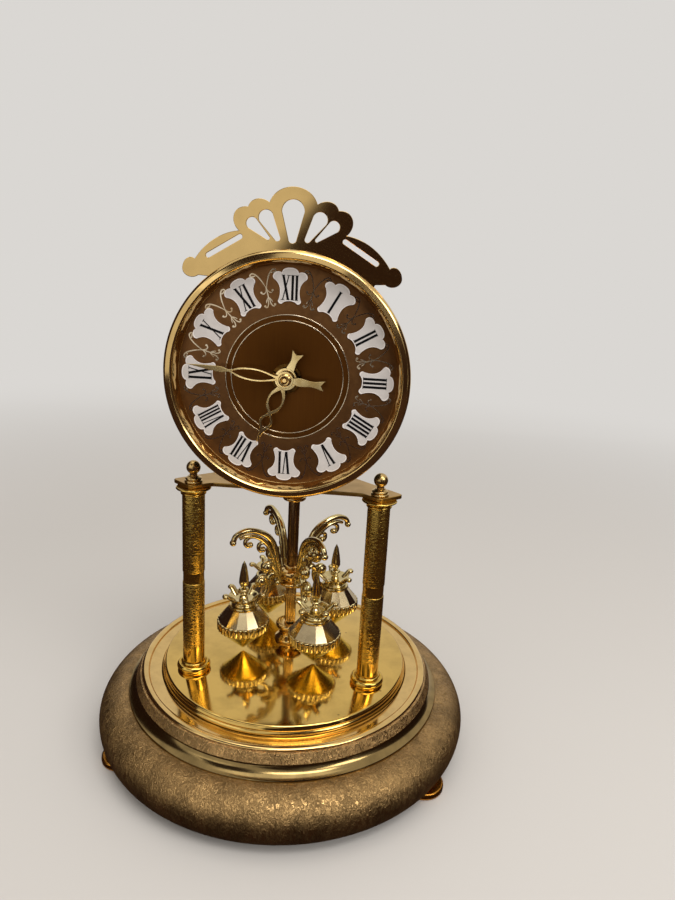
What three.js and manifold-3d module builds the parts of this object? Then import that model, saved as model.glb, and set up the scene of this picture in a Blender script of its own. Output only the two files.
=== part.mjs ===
// Quartz table clock with a rotating pendulum, on a round brass base with two columns.
// Millimetres, +Z up, the dial faces -Y, and the origin is on the table under the middle of the base.
import * as THREE from 'three';
import { mergeVertices } from 'three/addons/utils/BufferGeometryUtils.js';
import Module from 'manifold-3d';

const wasm = await Module();
wasm.setup();

// Clearances
const SEAT_GAP = 0.3;
const RUNNING_GAP = 0.3;

// Base, from the raised disc outwards and from the table upwards
const DISC_RADIUS = 58.8;
const DISC_FLARE = 1.2;
const SEAT_WIDTH = 6;
const LIP_WIDTH = 3.9;
const BAND_FLARE = 2.4;
const COVE_UNDERCUT = 0.9;
const COVE_DEPTH = 4.5;
const SHOULDER_STEP = 0.6;
const SKIRT_BULGE = 13;
const SKIRT_TUCK = 5.5;
const FOOT_RADIUS = 9.5;
const FOOT_HEIGHT = 3.2;
const BOTTOM_THICKNESS = 1.5;
const SKIRT_LOWER_HEIGHT = 9.3;
const SKIRT_UPPER_HEIGHT = 11.2;
const COVE_HEIGHT = 5.3;
const BAND_HEIGHT = 4.8;
const LIP_CROWN = 0.8;
const SEAT_DEPTH = 1.6;
const DISC_RISE = 4;
const DISC_REBATE = 0.6;
const SHEET = 1.2;
const FLANGE = 5;

// Columns
const COLUMN_X = 41.2;
const COLUMN_Y = -20.7;
const COLUMN_RADIUS = 5;
const COLUMN_HEIGHT = 90.2;
const COLUMN_FOOT_RADIUS = 7.75;
const COLUMN_FOOT_HEIGHT = 5.6;
const CAPITAL_RADIUS = 7.75;
const CAPITAL_HEIGHT = 6.6;
const PLAIN_BAND_HEIGHT = 5.2;
const PLAIN_BAND_RECESS = 0.25;
const TIE_ROD_RADIUS = 1.9;
const TIE_ROD_GRIP = 3;
const FINIAL_BALL_RADIUS = 3.1;
const FINIAL_COLLAR_RADIUS = 4;
const FINIAL_BALL_RISE = 7;

// Top plate
const PLATE_THICKNESS = 1.8;
const PLATE_BAR_INSET = 1.2;
const PLATE_INNER_REACH = 7.7;
const PLATE_FRONT_REACH = 6.3;
const PLATE_SIDE_REACH = 11.3;
const PLATE_SIDE_SETBACK = 3.4;
const PLATE_TAIL_WIDTH = 40;
const PLATE_TAIL_Y = 11.4;
const PLATE_REAR_MARGIN = 2;
const PLATE_CORNER = 2.2;

// Dial and bezel
const BEZEL_WIDTH = 5.4;
const BEZEL_DEPTH = 8;
const BEZEL_ROLL = 2.6;
const DIAL_VIEW_RADIUS = 44.6;
const DIAL_OVERLAP = 1.8;
const DIAL_FACE_Y = -30;
const DIAL_THICKNESS = 0.8;
const PAN_THICKNESS = 1.2;
const CARTOUCHE_RELIEF = 0.35;
const CARTOUCHE_MARGIN = 1.3;
const CARTOUCHE_LENGTH = 13.9;
const CARTOUCHE_HALF_WIDTH = 7;

// Hands, with the time that they show
const MINUTE_HAND_LENGTH = 40.3;
const HOUR_HAND_LENGTH = 29.6;
const MINUTE_HAND_HALF_WIDTH = 2.8;
const HOUR_HAND_HALF_WIDTH = 3.4;
const HAND_THICKNESS = 0.6;
const HAND_HUB_WALL = 1.6;
const HAND_NUT_WALL = 1.1;
const HAND_NUT_LENGTH = 2.2;
const HAND_SPACING = 1.5;
const HOUR_HAND_RISE = 3.3;
const MINUTES_PAST_TWELVE = 6 * 60 + 46;

// Crest
const CREST_THICKNESS = 1;
const CREST_ABOVE_BEZEL = 23.3;
const CREST_HALF_WIDTH = 43.5;
const CREST_SPREAD_DEGREES = 44;

// Movement
const CASE_MARGIN = 1.5;
const CASE_WALL = 1.8;
const CASE_REAR_GAP = 1.2;
const CASE_CREST_GAP = 2.4;
const CASE_NECK_WIDTH = 34;
const CASE_NECK_INSET = 9.5;
const CASE_SPIGOT_RADIUS = 4;
const DIAL_NUT_THICKNESS = 1.2;
const DIAL_NUT_WALL = 1.8;
const SPIGOT_PROUD = 0.8;
const ARBOR_RADIUS = 1.5;
const HOUR_PIPE_WALL = 0.8;
const GEAR_THICKNESS = 1.5;
const GEAR_SPACING = 0.9;
const GEAR_MODULE = 1.2;
const PINION_TEETH = 6;
const MINUTE_WHEEL_TEETH = 18;
const HOUR_WHEEL_TEETH = 24;
const BEARING_THICKNESS = 2;
const MOTOR_WIDTH = 20;
const MOTOR_HEIGHT = 22;
const MOTOR_DEPTH = 12;
const MOTOR_GAP = 2.4;
const KNOB_RADIUS = 8;
const KNOB_LENGTH = 4.5;
const BATTERY_RADIUS = 7.25;
const BATTERY_LENGTH = 50.5;
const BATTERY_DROP = 10;
const CONTACT_TRAVEL = 2;
const COIL_RADIUS = 6;
const COIL_LENGTH = 11;

// Pendulum
const PENDULUM_Y = 12.5;
const PENDULUM_TURN_DEGREES = 34.3;
const PENDULUM_SHAFT_RADIUS = 1.5;
const ROD_RADIUS = 2.8;
const BUSH_RADIUS = 5.75;
const BUSH_LENGTH = 14.2;
const MAGNET_RADIUS = 6.5;
const MAGNET_HEIGHT = 6;
const GUIDE_RADIUS = 7.5;
const GUIDE_HEIGHT = 9.5;
const SPINDLE_LENGTH = 20.5;
const SPINDLE_FLUTES = 10;
const HUB_RADIUS = 6.2;
const HUB_HEIGHT = 11;
const ARM_REACH = 26;
const WEIGHT_RADIUS = 12.85;
const WEIGHT_CLEARANCE = 1.6;
const WEIGHT_LOWER_HEIGHT = 10.9;
const WEIGHT_BAND_HEIGHT = 4.6;
const WEIGHT_UPPER_HEIGHT = 6.5;
const WEIGHT_TOP_RADIUS = 7.2;
const WEIGHT_TIP_RADIUS = 1.2;
const WEIGHT_FLUTES = 18;
const WEIGHT_FLUTE_DEPTH = 0.6;
const WEIGHT_LEDGE = 0.4;
const WEIGHT_FACETS = 14;
const WEIGHT_STUD_RADIUS = 1.3;
const EYE_THICKNESS = 1.4;
const CROWN_HEIGHT = 8.5;
const CROWN_PETALS = 5;
const SPEAR_HEIGHT = 14.5;
const LEAF_RISE = 22;
const LEAF_REACH = 32.5;
const LEAF_THICKNESS = 3.4;

// Facets round each kind of turned piece
const LARGE_ROUND = 32;
const CASE_ROUND = 24;
const SMALL_ROUND = 12;
const PIN_ROUND = 8;

// Levels of the base
const bottomZ = FOOT_HEIGHT;
const skirtZ = bottomZ + BOTTOM_THICKNESS;
const bellyZ = skirtZ + SKIRT_LOWER_HEIGHT;
const coveZ = bellyZ + SKIRT_UPPER_HEIGHT;
const bandZ = coveZ + COVE_HEIGHT;
const lipZ = bandZ + BAND_HEIGHT;
const seatZ = lipZ + LIP_CROWN - SEAT_DEPTH;
const discZ = seatZ + DISC_RISE;
const discFootZ = seatZ - DISC_REBATE;
const plateZ = discZ + COLUMN_HEIGHT;
const plateTopZ = plateZ + PLATE_THICKNESS;
const bezelRadius = DIAL_VIEW_RADIUS + BEZEL_WIDTH;
const dialZ = plateTopZ + bezelRadius + SEAT_GAP;

// Radii of the base
const discFootRadius = DISC_RADIUS + DISC_FLARE;
const seatRadius = discFootRadius + SEAT_WIDTH;
const bandTopRadius = seatRadius + LIP_WIDTH;
const bandRadius = bandTopRadius + BAND_FLARE;
const waistRadius = bandRadius - COVE_UNDERCUT;
const coveRadius = waistRadius + COVE_DEPTH;
const shoulderRadius = coveRadius + SHOULDER_STEP;
const skirtRadius = shoulderRadius + SKIRT_BULGE;
const tuckRadius = skirtRadius - SKIRT_TUCK;

// Depths of the head, from the dial backwards
const dialRadius = DIAL_VIEW_RADIUS + DIAL_OVERLAP;
const dialBackY = DIAL_FACE_Y + DIAL_THICKNESS;
const panBackY = dialBackY + PAN_THICKNESS;
const caseInsideY = panBackY + CASE_WALL;
const caseBackY = PENDULUM_Y + MAGNET_RADIUS + CASE_REAR_GAP;
const coverBackY = caseBackY + CASE_WALL;
const caseFloorZ = plateTopZ + CASE_WALL;
const bayHalf = BATTERY_LENGTH / 2 + CONTACT_TRAVEL;
const bayRise = BATTERY_RADIUS + SEAT_GAP;
const trayHalf = bayHalf + SHEET;
const trayRise = bayRise + SHEET;
const caseRadius = Math.hypot(trayHalf, BATTERY_DROP + trayRise) + CASE_MARGIN + CASE_WALL;
const gearDistance = GEAR_MODULE * (PINION_TEETH + MINUTE_WHEEL_TEETH) / 2;
const hourModule = 2 * gearDistance / (PINION_TEETH + HOUR_WHEEL_TEETH);
const hourWheelY = caseInsideY + GEAR_SPACING;
const minuteWheelY = hourWheelY + GEAR_THICKNESS + GEAR_SPACING;
const bearingY = minuteWheelY + GEAR_THICKNESS + GEAR_SPACING;
const bearingBackY = bearingY + BEARING_THICKNESS;
const hourHandBackY = DIAL_FACE_Y - HOUR_HAND_RISE;
const minuteHandBackY = hourHandBackY - HAND_THICKNESS - HAND_SPACING;
const minuteHandFrontY = minuteHandBackY - HAND_THICKNESS;
const handBore = ARBOR_RADIUS + SEAT_GAP;
const hourPipeBore = ARBOR_RADIUS + RUNNING_GAP;
const hourPipeRadius = hourPipeBore + HOUR_PIPE_WALL;

// Pendulum levels
const bushNeckRadius = PENDULUM_SHAFT_RADIUS + RUNNING_GAP + SHEET;
const bushTopZ = caseFloorZ + SHEET;
const bushLowZ = plateZ - BUSH_LENGTH;
const magnetZ = bushTopZ + RUNNING_GAP;
const guideTopZ = discZ + GUIDE_HEIGHT;
const spindleZ = guideTopZ + 2 * RUNNING_GAP;
const hubZ = spindleZ + SPINDLE_LENGTH;
const hubTopZ = hubZ + HUB_HEIGHT;
const weightZ = discZ + WEIGHT_CLEARANCE;
const weightBandZ = weightZ + WEIGHT_LOWER_HEIGHT;
const weightShoulderZ = weightBandZ + WEIGHT_BAND_HEIGHT;
const eyeZ = weightShoulderZ + WEIGHT_UPPER_HEIGHT;
const crownZ = eyeZ + EYE_THICKNESS;
const crownTopZ = crownZ + CROWN_HEIGHT;
const sleeveBore = PENDULUM_SHAFT_RADIUS + SEAT_GAP;
const studTopZ = crownZ + CROWN_HEIGHT / 2;

// Finishes
function finish(colour, roughness, metalness) {
  return new THREE.MeshStandardMaterial({ color: colour, roughness, metalness });
}
const polishedBrass = finish(0xd9b45c, 0.15, 1);
const mirrorBrass = finish(0xc09a4e, 0.08, 1);
const texturedBrass = finish(0x86693f, 0.5, 1);
const satinBrass = finish(0xc2a060, 0.35, 1);
const columnBrass = finish(0xb88a35, 0.3, 1);
const paleGilt = finish(0xe0cfa0, 0.12, 1);
const brownDial = finish(0x4a2a0e, 0.35, 0.2);
const steel = finish(0x9a9a98, 0.35, 1);
const darkPlastic = finish(0x2a2420, 0.55, 0);
const palePlastic = finish(0xd8d2c2, 0.5, 0);
const copperWire = finish(0x9a5a2c, 0.4, 1);
const cellJacket = finish(0x3d4a52, 0.4, 0.2);
const blackIron = finish(0x303032, 0.6, 0.6);

// Closed, merged and facing out, with only positions left
function tidy(geometry) {
  geometry.deleteAttribute('normal');
  geometry.deleteAttribute('uv');
  const merged = mergeVertices(geometry, 1e-4);
  const position = merged.getAttribute('position');
  const corners = merged.getIndex().array;
  const kept = [];
  let volume = 0;
  const [a, b, c] = [new THREE.Vector3(), new THREE.Vector3(), new THREE.Vector3()];
  for (let i = 0; i < corners.length; i += 3) {
    const [p, q, r] = [corners[i], corners[i + 1], corners[i + 2]];
    if (p === q || q === r || r === p) continue;
    kept.push(p, q, r);
    a.fromBufferAttribute(position, p);
    b.fromBufferAttribute(position, q);
    c.fromBufferAttribute(position, r);
    volume += a.dot(b.cross(c));
  }
  if (volume < 0) kept.reverse();
  merged.setIndex(kept);
  return merged;
}

function toSolid(geometry) {
  const vertProperties = new Float32Array(geometry.getAttribute('position').array);
  const triVerts = new Uint32Array(geometry.getIndex().array);
  return new wasm.Manifold(new wasm.Mesh({ numProp: 3, vertProperties, triVerts }));
}

function toGeometry(solid) {
  const mesh = solid.getMesh();
  const geometry = new THREE.BufferGeometry();
  geometry.setAttribute('position', new THREE.Float32BufferAttribute(mesh.vertProperties, 3));
  geometry.setIndex(Array.from(mesh.triVerts));
  return geometry;
}

function join(first, ...others) {
  let solid = toSolid(first);
  for (const other of others) solid = solid.add(toSolid(other));
  return toGeometry(solid);
}

function cut(body, ...tools) {
  let solid = toSolid(body);
  for (const tool of tools) solid = solid.subtract(toSolid(tool));
  return toGeometry(solid);
}

// Turned about Z from [radius, height] points
function turned(profile, segments) {
  const points = profile.map(([radius, height]) => new THREE.Vector2(radius, height));
  const geometry = new THREE.LatheGeometry(points, segments);
  geometry.rotateX(Math.PI / 2);
  return tidy(geometry);
}

// Turned about the Y axis through the middle of the dial, from [radius, y] points
function turnedOnDial(profile, segments) {
  const points = profile.map(([radius, y]) => new THREE.Vector2(radius, y));
  const geometry = new THREE.LatheGeometry(points, segments);
  geometry.translate(0, 0, dialZ);
  return tidy(geometry);
}

function closed(profile) {
  return [...profile, profile[0]];
}

function ring(innerRadius, outerRadius, low, high) {
  return closed([[innerRadius, low], [outerRadius, low], [outerRadius, high], [innerRadius, high]]);
}

function rod(radius, low, high) {
  return [[0, low], [radius, low], [radius, high], [0, high]];
}

// Points of a quarter ellipse between two angles in degrees
function ellipseArc(centreX, centreY, radiusX, radiusY, fromDegrees, toDegrees, steps) {
  const points = [];
  for (let i = 0; i <= steps; i += 1) {
    const angle = THREE.MathUtils.degToRad(fromDegrees + (toDegrees - fromDegrees) * i / steps);
    points.push([centreX + radiusX * Math.cos(angle), centreY + radiusY * Math.sin(angle)]);
  }
  return points;
}

// An outline drawn in the front view, as a sheet between two depths, with its zero at the dial's middle
function sheet(shape, frontY, backY, curveSteps) {
  const options = { depth: backY - frontY, bevelEnabled: false, curveSegments: curveSteps };
  const geometry = new THREE.ExtrudeGeometry(shape, options);
  geometry.rotateX(Math.PI / 2);
  geometry.translate(0, backY, dialZ);
  return tidy(geometry);
}

// Turned clockwise about the dial's axis, seen from the front
function clockwise(geometry, degrees) {
  geometry.translate(0, 0, -dialZ);
  geometry.rotateY(THREE.MathUtils.degToRad(degrees));
  geometry.translate(0, 0, dialZ);
  return geometry;
}

function box(lowX, highX, lowY, highY, lowZ, highZ) {
  const geometry = new THREE.BoxGeometry(highX - lowX, highY - lowY, highZ - lowZ);
  geometry.translate((lowX + highX) / 2, (lowY + highY) / 2, (lowZ + highZ) / 2);
  return tidy(geometry);
}

// A tapering tube in the XZ plane along [x, z] points, with a radius at each step from the given function
function taperedTube(points, radiusAt, steps, sides) {
  const curve = new THREE.CatmullRomCurve3(points.map(([x, z]) => new THREE.Vector3(x, 0, z)));
  const positions = [];
  const index = [];
  for (let i = 0; i <= steps; i += 1) {
    const along = i / steps;
    const centre = curve.getPoint(along);
    const tangent = curve.getTangent(along);
    for (let k = 0; k < sides; k += 1) {
      const angle = 2 * Math.PI * k / sides;
      const radius = radiusAt(along);
      const across = radius * Math.cos(angle);
      positions.push(centre.x - tangent.z * across, radius * Math.sin(angle), centre.z + tangent.x * across);
      if (i < steps) {
        const here = i * sides + k;
        const next = i * sides + (k + 1) % sides;
        index.push(here, next, next + sides, here, next + sides, here + sides);
      }
    }
  }
  for (let k = 1; k + 1 < sides; k += 1) {
    const last = steps * sides;
    index.push(0, k + 1, k, last, last + k, last + k + 1);
  }
  const geometry = new THREE.BufferGeometry();
  geometry.setAttribute('position', new THREE.Float32BufferAttribute(positions, 3));
  geometry.setIndex(index);
  return tidy(geometry);
}

function ball(radius, x, z) {
  const geometry = new THREE.IcosahedronGeometry(radius, 0);
  geometry.translate(x, 0, z);
  return tidy(geometry);
}

const clock = new THREE.Group();

function addPiece(name, geometry, material, parent = clock) {
  geometry.computeVertexNormals();
  const mesh = new THREE.Mesh(geometry, material);
  mesh.name = name;
  parent.add(mesh);
  return mesh;
}

function groupAt(x, y, z, degrees = 0) {
  const group = new THREE.Group();
  group.position.set(x, y, z);
  group.rotation.z = THREE.MathUtils.degToRad(degrees);
  clock.add(group);
  return group;
}

function holeAt(radius, x, y, low, high) {
  const geometry = turned(rod(radius, low, high), PIN_ROUND);
  geometry.translate(x, y, 0);
  return geometry;
}

const columnSides = [['left', -COLUMN_X], ['right', COLUMN_X]];
const tieRodBore = TIE_ROD_RADIUS + SEAT_GAP;

// Base
function makeBase() {
  const footCircle = skirtRadius - FOOT_RADIUS;
  const footEdge = FOOT_HEIGHT / 4;
  const footProfile = [
    [0, 0],
    [FOOT_RADIUS - footEdge, 0],
    [FOOT_RADIUS, footEdge],
    [FOOT_RADIUS, FOOT_HEIGHT - footEdge],
    [FOOT_RADIUS - footEdge, FOOT_HEIGHT],
    [0, FOOT_HEIGHT],
  ];
  for (const [name, degrees] of [['front_right', -30], ['front_left', -150], ['rear', 90]]) {
    const foot = groupAt(0, 0, 0, degrees);
    const mesh = addPiece(`foot_${name}`, turned(footProfile, SMALL_ROUND), polishedBrass, foot);
    mesh.position.x = footCircle;
  }

  const rodHoles = [];
  for (const [, x] of columnSides) rodHoles.push(holeAt(tieRodBore, x, COLUMN_Y, 0, plateTopZ));
  const bottom = turned(rod(tuckRadius - SHEET, bottomZ, skirtZ), LARGE_ROUND);
  addPiece('base_bottom_plate', cut(bottom, ...rodHoles), satinBrass);

  const lowerHeight = SKIRT_LOWER_HEIGHT;
  const upperHeight = SKIRT_UPPER_HEIGHT;
  const skirtOutside = [
    ...ellipseArc(tuckRadius, bellyZ, SKIRT_TUCK, lowerHeight, -90, 0, 2),
    ...ellipseArc(shoulderRadius, bellyZ, SKIRT_BULGE, upperHeight, 0, 90, 4).slice(1),
  ];
  const skirtInside = [
    ...ellipseArc(shoulderRadius, bellyZ, SKIRT_BULGE - SHEET, upperHeight - SHEET, 90, 0, 1),
    ...ellipseArc(tuckRadius, bellyZ, SKIRT_TUCK - SHEET, lowerHeight - SHEET, 0, -90, 1).slice(1),
  ];
  const skirtProfile = closed([
    [tuckRadius - FLANGE, skirtZ],
    ...skirtOutside,
    [waistRadius - FLANGE, coveZ],
    [waistRadius - FLANGE, coveZ - SHEET],
    ...skirtInside,
    [tuckRadius - FLANGE, skirtZ + SHEET],
  ]);
  addPiece('base_skirt', turned(skirtProfile, LARGE_ROUND), texturedBrass);

  const coveProfile = closed([
    [waistRadius - SHEET - SEAT_GAP, coveZ],
    [coveRadius, coveZ],
    [coveRadius, coveZ + COVE_HEIGHT * 0.15],
    [waistRadius + COVE_DEPTH * 0.52, coveZ + COVE_HEIGHT * 0.33],
    [waistRadius + COVE_DEPTH * 0.2, coveZ + COVE_HEIGHT * 0.55],
    [waistRadius, coveZ + COVE_HEIGHT * 0.8],
    [bandRadius - SEAT_GAP, bandZ],
    [waistRadius - SHEET - SEAT_GAP, bandZ],
  ]);
  addPiece('base_cove_ring', turned(coveProfile, LARGE_ROUND), polishedBrass);

  const lipHalf = LIP_WIDTH / 2;
  const rimProfile = closed([
    [bandRadius - SHEET, bandZ],
    [bandRadius, bandZ],
    [bandTopRadius, lipZ],
    [bandTopRadius - lipHalf, lipZ + LIP_CROWN],
    [seatRadius, seatZ],
    [discFootRadius + SEAT_GAP, seatZ],
    [discFootRadius + SEAT_GAP, discFootZ],
    [DISC_RADIUS - FLANGE, discFootZ],
    [DISC_RADIUS - FLANGE, discFootZ - SHEET],
    [bandTopRadius - SHEET, discFootZ - SHEET],
  ]);
  addPiece('base_rim', cut(turned(rimProfile, LARGE_ROUND), ...rodHoles), texturedBrass);

  const discEdge = DISC_RISE / 5;
  const discProfile = [
    [0, discZ - SHEET],
    [DISC_RADIUS - SHEET, discZ - SHEET],
    [discFootRadius - SHEET, discFootZ],
    [discFootRadius, discFootZ],
    [DISC_RADIUS, discZ - discEdge],
    [DISC_RADIUS - discEdge, discZ],
    [0, discZ],
  ];
  addPiece('base_disc', cut(turned(discProfile, LARGE_ROUND), ...rodHoles), mirrorBrass);

  const guideBore = PENDULUM_SHAFT_RADIUS + RUNNING_GAP;
  const guideProfile = closed([
    [guideBore, discZ],
    [GUIDE_RADIUS, discZ],
    [GUIDE_RADIUS, discZ + GUIDE_HEIGHT * 0.2],
    [GUIDE_RADIUS * 0.7, discZ + GUIDE_HEIGHT * 0.35],
    [GUIDE_RADIUS * 0.75, discZ + GUIDE_HEIGHT * 0.65],
    [GUIDE_RADIUS * 0.95, discZ + GUIDE_HEIGHT * 0.8],
    [GUIDE_RADIUS * 0.95, discZ + GUIDE_HEIGHT],
    [guideBore, discZ + GUIDE_HEIGHT],
  ]);
  addPiece('pendulum_guide', turned(guideProfile, SMALL_ROUND), polishedBrass, groupAt(0, PENDULUM_Y, 0));
}

// Columns
function makeColumns() {
  const footTopZ = discZ + COLUMN_FOOT_HEIGHT;
  const capitalZ = plateZ - CAPITAL_HEIGHT;
  const middleZ = (footTopZ + capitalZ) / 2;
  const bandLowZ = middleZ - PLAIN_BAND_HEIGHT / 2;
  const bandHighZ = middleZ + PLAIN_BAND_HEIGHT / 2;
  const bandRadiusInset = COLUMN_RADIUS - PLAIN_BAND_RECESS;
  const footBulge = COLUMN_FOOT_RADIUS - COLUMN_RADIUS;
  const shaftProfile = closed([
    [tieRodBore, footTopZ],
    [COLUMN_RADIUS, footTopZ],
    [COLUMN_RADIUS, bandLowZ - PLAIN_BAND_RECESS],
    [bandRadiusInset, bandLowZ],
    [bandRadiusInset, bandHighZ],
    [COLUMN_RADIUS, bandHighZ + PLAIN_BAND_RECESS],
    [COLUMN_RADIUS, capitalZ],
    [tieRodBore, capitalZ],
  ]);
  const footProfile = closed([
    [tieRodBore, discZ],
    [COLUMN_FOOT_RADIUS - footBulge / 4, discZ],
    [COLUMN_FOOT_RADIUS, discZ + COLUMN_FOOT_HEIGHT * 0.25],
    [COLUMN_FOOT_RADIUS, discZ + COLUMN_FOOT_HEIGHT * 0.5],
    [COLUMN_RADIUS + footBulge / 2, discZ + COLUMN_FOOT_HEIGHT * 0.72],
    [COLUMN_RADIUS + footBulge / 4, footTopZ],
    [tieRodBore, footTopZ],
  ]);
  const flare = CAPITAL_RADIUS - COLUMN_RADIUS;
  const capitalProfile = closed([
    [tieRodBore, capitalZ],
    [COLUMN_RADIUS + flare / 6, capitalZ],
    [COLUMN_RADIUS + flare / 6, capitalZ + CAPITAL_HEIGHT * 0.2],
    [COLUMN_RADIUS, capitalZ + CAPITAL_HEIGHT * 0.3],
    [COLUMN_RADIUS + flare / 4, capitalZ + CAPITAL_HEIGHT * 0.55],
    [CAPITAL_RADIUS, capitalZ + CAPITAL_HEIGHT * 0.8],
    [CAPITAL_RADIUS, plateZ],
    [tieRodBore, plateZ],
  ]);
  const ballZ = plateTopZ + FINIAL_BALL_RISE;
  const collarHeight = FINIAL_BALL_RISE - FINIAL_BALL_RADIUS;
  const gripZ = plateTopZ + TIE_ROD_GRIP;
  const finialProfile = [
    [0, gripZ + SEAT_GAP],
    [tieRodBore, gripZ + SEAT_GAP],
    [tieRodBore, plateTopZ],
    [FINIAL_COLLAR_RADIUS, plateTopZ],
    [FINIAL_COLLAR_RADIUS, plateTopZ + collarHeight * 0.3],
    [FINIAL_BALL_RADIUS * 0.75, plateTopZ + collarHeight * 0.5],
    ...ellipseArc(0, ballZ, FINIAL_BALL_RADIUS, FINIAL_BALL_RADIUS, -45, 90, 3),
  ];
  for (const [side, x] of columnSides) {
    const column = groupAt(x, COLUMN_Y, 0);
    addPiece(`column_foot_${side}`, turned(footProfile, SMALL_ROUND), polishedBrass, column);
    addPiece(`column_shaft_${side}`, turned(shaftProfile, SMALL_ROUND), columnBrass, column);
    addPiece(`column_capital_${side}`, turned(capitalProfile, SMALL_ROUND), columnBrass, column);
    addPiece(`tie_rod_${side}`, turned(rod(TIE_ROD_RADIUS, bottomZ, gripZ), PIN_ROUND), steel, column);
    addPiece(`finial_${side}`, turned(finialProfile, SMALL_ROUND), polishedBrass, column);
  }
}

// Top plate: a bar with a diamond end over each column, broadening back to carry the movement
function makeTopPlate() {
  const barY = COLUMN_Y + PLATE_BAR_INSET;
  const rearY = coverBackY + PLATE_REAR_MARGIN;
  const tailHalf = PLATE_TAIL_WIDTH / 2;
  const rightHalf = [
    [COLUMN_X - PLATE_INNER_REACH, barY],
    [COLUMN_X, COLUMN_Y - PLATE_FRONT_REACH],
    [COLUMN_X + PLATE_SIDE_REACH, COLUMN_Y + PLATE_SIDE_SETBACK],
    [tailHalf, PLATE_TAIL_Y],
    [tailHalf, rearY],
  ];
  const leftHalf = rightHalf.map(([x, y]) => [-x, y]).reverse();
  const corners = [...rightHalf, ...leftHalf].map(([x, y]) => new THREE.Vector2(x, y));
  const outline = new THREE.Shape();
  corners.forEach((corner, i) => {
    const before = corners[(i + corners.length - 1) % corners.length];
    const after = corners[(i + 1) % corners.length];
    const start = corner.clone().add(before.clone().sub(corner).setLength(PLATE_CORNER));
    const end = corner.clone().add(after.clone().sub(corner).setLength(PLATE_CORNER));
    if (i === 0) outline.moveTo(start.x, start.y);
    else outline.lineTo(start.x, start.y);
    outline.quadraticCurveTo(corner.x, corner.y, end.x, end.y);
  });
  outline.closePath();
  const options = { depth: PLATE_THICKNESS, bevelEnabled: false, curveSegments: 2 };
  const geometry = new THREE.ExtrudeGeometry(outline, options);
  geometry.translate(0, 0, plateZ);
  const holes = columnSides.map(([, x]) => holeAt(tieRodBore, x, COLUMN_Y, 0, dialZ));
  holes.push(holeAt(bushNeckRadius + SEAT_GAP, 0, PENDULUM_Y, 0, dialZ));
  addPiece('top_plate', cut(tidy(geometry), ...holes), satinBrass);
}

// Cartouche outline with its zero at the dial's middle, set at twelve o'clock
function cartoucheShape() {
  const outer = DIAL_VIEW_RADIUS - CARTOUCHE_MARGIN;
  const length = CARTOUCHE_LENGTH;
  const inner = outer - length;
  const half = CARTOUCHE_HALF_WIDTH;
  const shape = new THREE.Shape();
  shape.moveTo(-half * 0.62, inner);
  shape.quadraticCurveTo(0, inner + length * 0.2, half * 0.62, inner);
  shape.quadraticCurveTo(half * 0.4, inner + length * 0.5, half, inner + length * 0.76);
  shape.quadraticCurveTo(half * 0.95, outer - length * 0.02, half * 0.42, outer - length * 0.1);
  shape.quadraticCurveTo(0, outer + length * 0.09, -half * 0.42, outer - length * 0.1);
  shape.quadraticCurveTo(-half * 0.95, outer - length * 0.02, -half, inner + length * 0.76);
  shape.quadraticCurveTo(-half * 0.4, inner + length * 0.5, -half * 0.62, inner);
  return shape;
}

// Bezel, dial and the pan behind them
function makeDial() {
  const seatRadiusOnDial = dialRadius + SEAT_GAP;
  const frontY = panBackY - BEZEL_DEPTH;
  const bezelProfile = closed([
    [DIAL_VIEW_RADIUS, DIAL_FACE_Y],
    ...ellipseArc(bezelRadius - BEZEL_ROLL, frontY + BEZEL_ROLL, BEZEL_ROLL, BEZEL_ROLL, -90, 0, 2),
    [bezelRadius, panBackY],
    [seatRadiusOnDial, panBackY],
    [seatRadiusOnDial, DIAL_FACE_Y],
  ]);
  addPiece('bezel', turnedOnDial(bezelProfile, LARGE_ROUND), polishedBrass);

  const spigotHole = CASE_SPIGOT_RADIUS + SEAT_GAP;
  const panProfile = ring(spigotHole, dialRadius, dialBackY, panBackY);
  addPiece('dial_pan', turnedOnDial(panProfile, CASE_ROUND), steel);

  const disc = turnedOnDial(ring(spigotHole, dialRadius, DIAL_FACE_Y, dialBackY), LARGE_ROUND);
  const pads = [];
  for (let hour = 0; hour < 12; hour += 1) {
    const pad = sheet(cartoucheShape(), DIAL_FACE_Y - CARTOUCHE_RELIEF, dialBackY - DIAL_THICKNESS / 2, 2);
    pads.push(clockwise(pad, 30 * hour));
  }
  addPiece('dial_plate', join(disc, ...pads), brownDial);

  const nutFrontY = DIAL_FACE_Y - DIAL_NUT_THICKNESS;
  const nutProfile = ring(spigotHole, spigotHole + DIAL_NUT_WALL, nutFrontY, DIAL_FACE_Y);
  addPiece('dial_nut', turnedOnDial(nutProfile, SMALL_ROUND), steel);
}

// A petal-shaped opening that widens from its foot to a round tip
function petal(footX, footY, footWidth, tipX, tipY, tipRadius) {
  const angle = Math.atan2(tipY - footY, tipX - footX);
  const [along, across] = [new THREE.Vector2(Math.cos(angle), Math.sin(angle)), new THREE.Vector2()];
  across.set(-along.y, along.x);
  const path = new THREE.Path();
  path.moveTo(footX - across.x * footWidth / 2, footY - across.y * footWidth / 2);
  path.lineTo(tipX - across.x * tipRadius, tipY - across.y * tipRadius);
  path.absarc(tipX, tipY, tipRadius, angle - Math.PI / 2, angle + Math.PI / 2, false);
  path.lineTo(footX + across.x * footWidth / 2, footY + across.y * footWidth / 2);
  path.closePath();
  return path;
}

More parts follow.
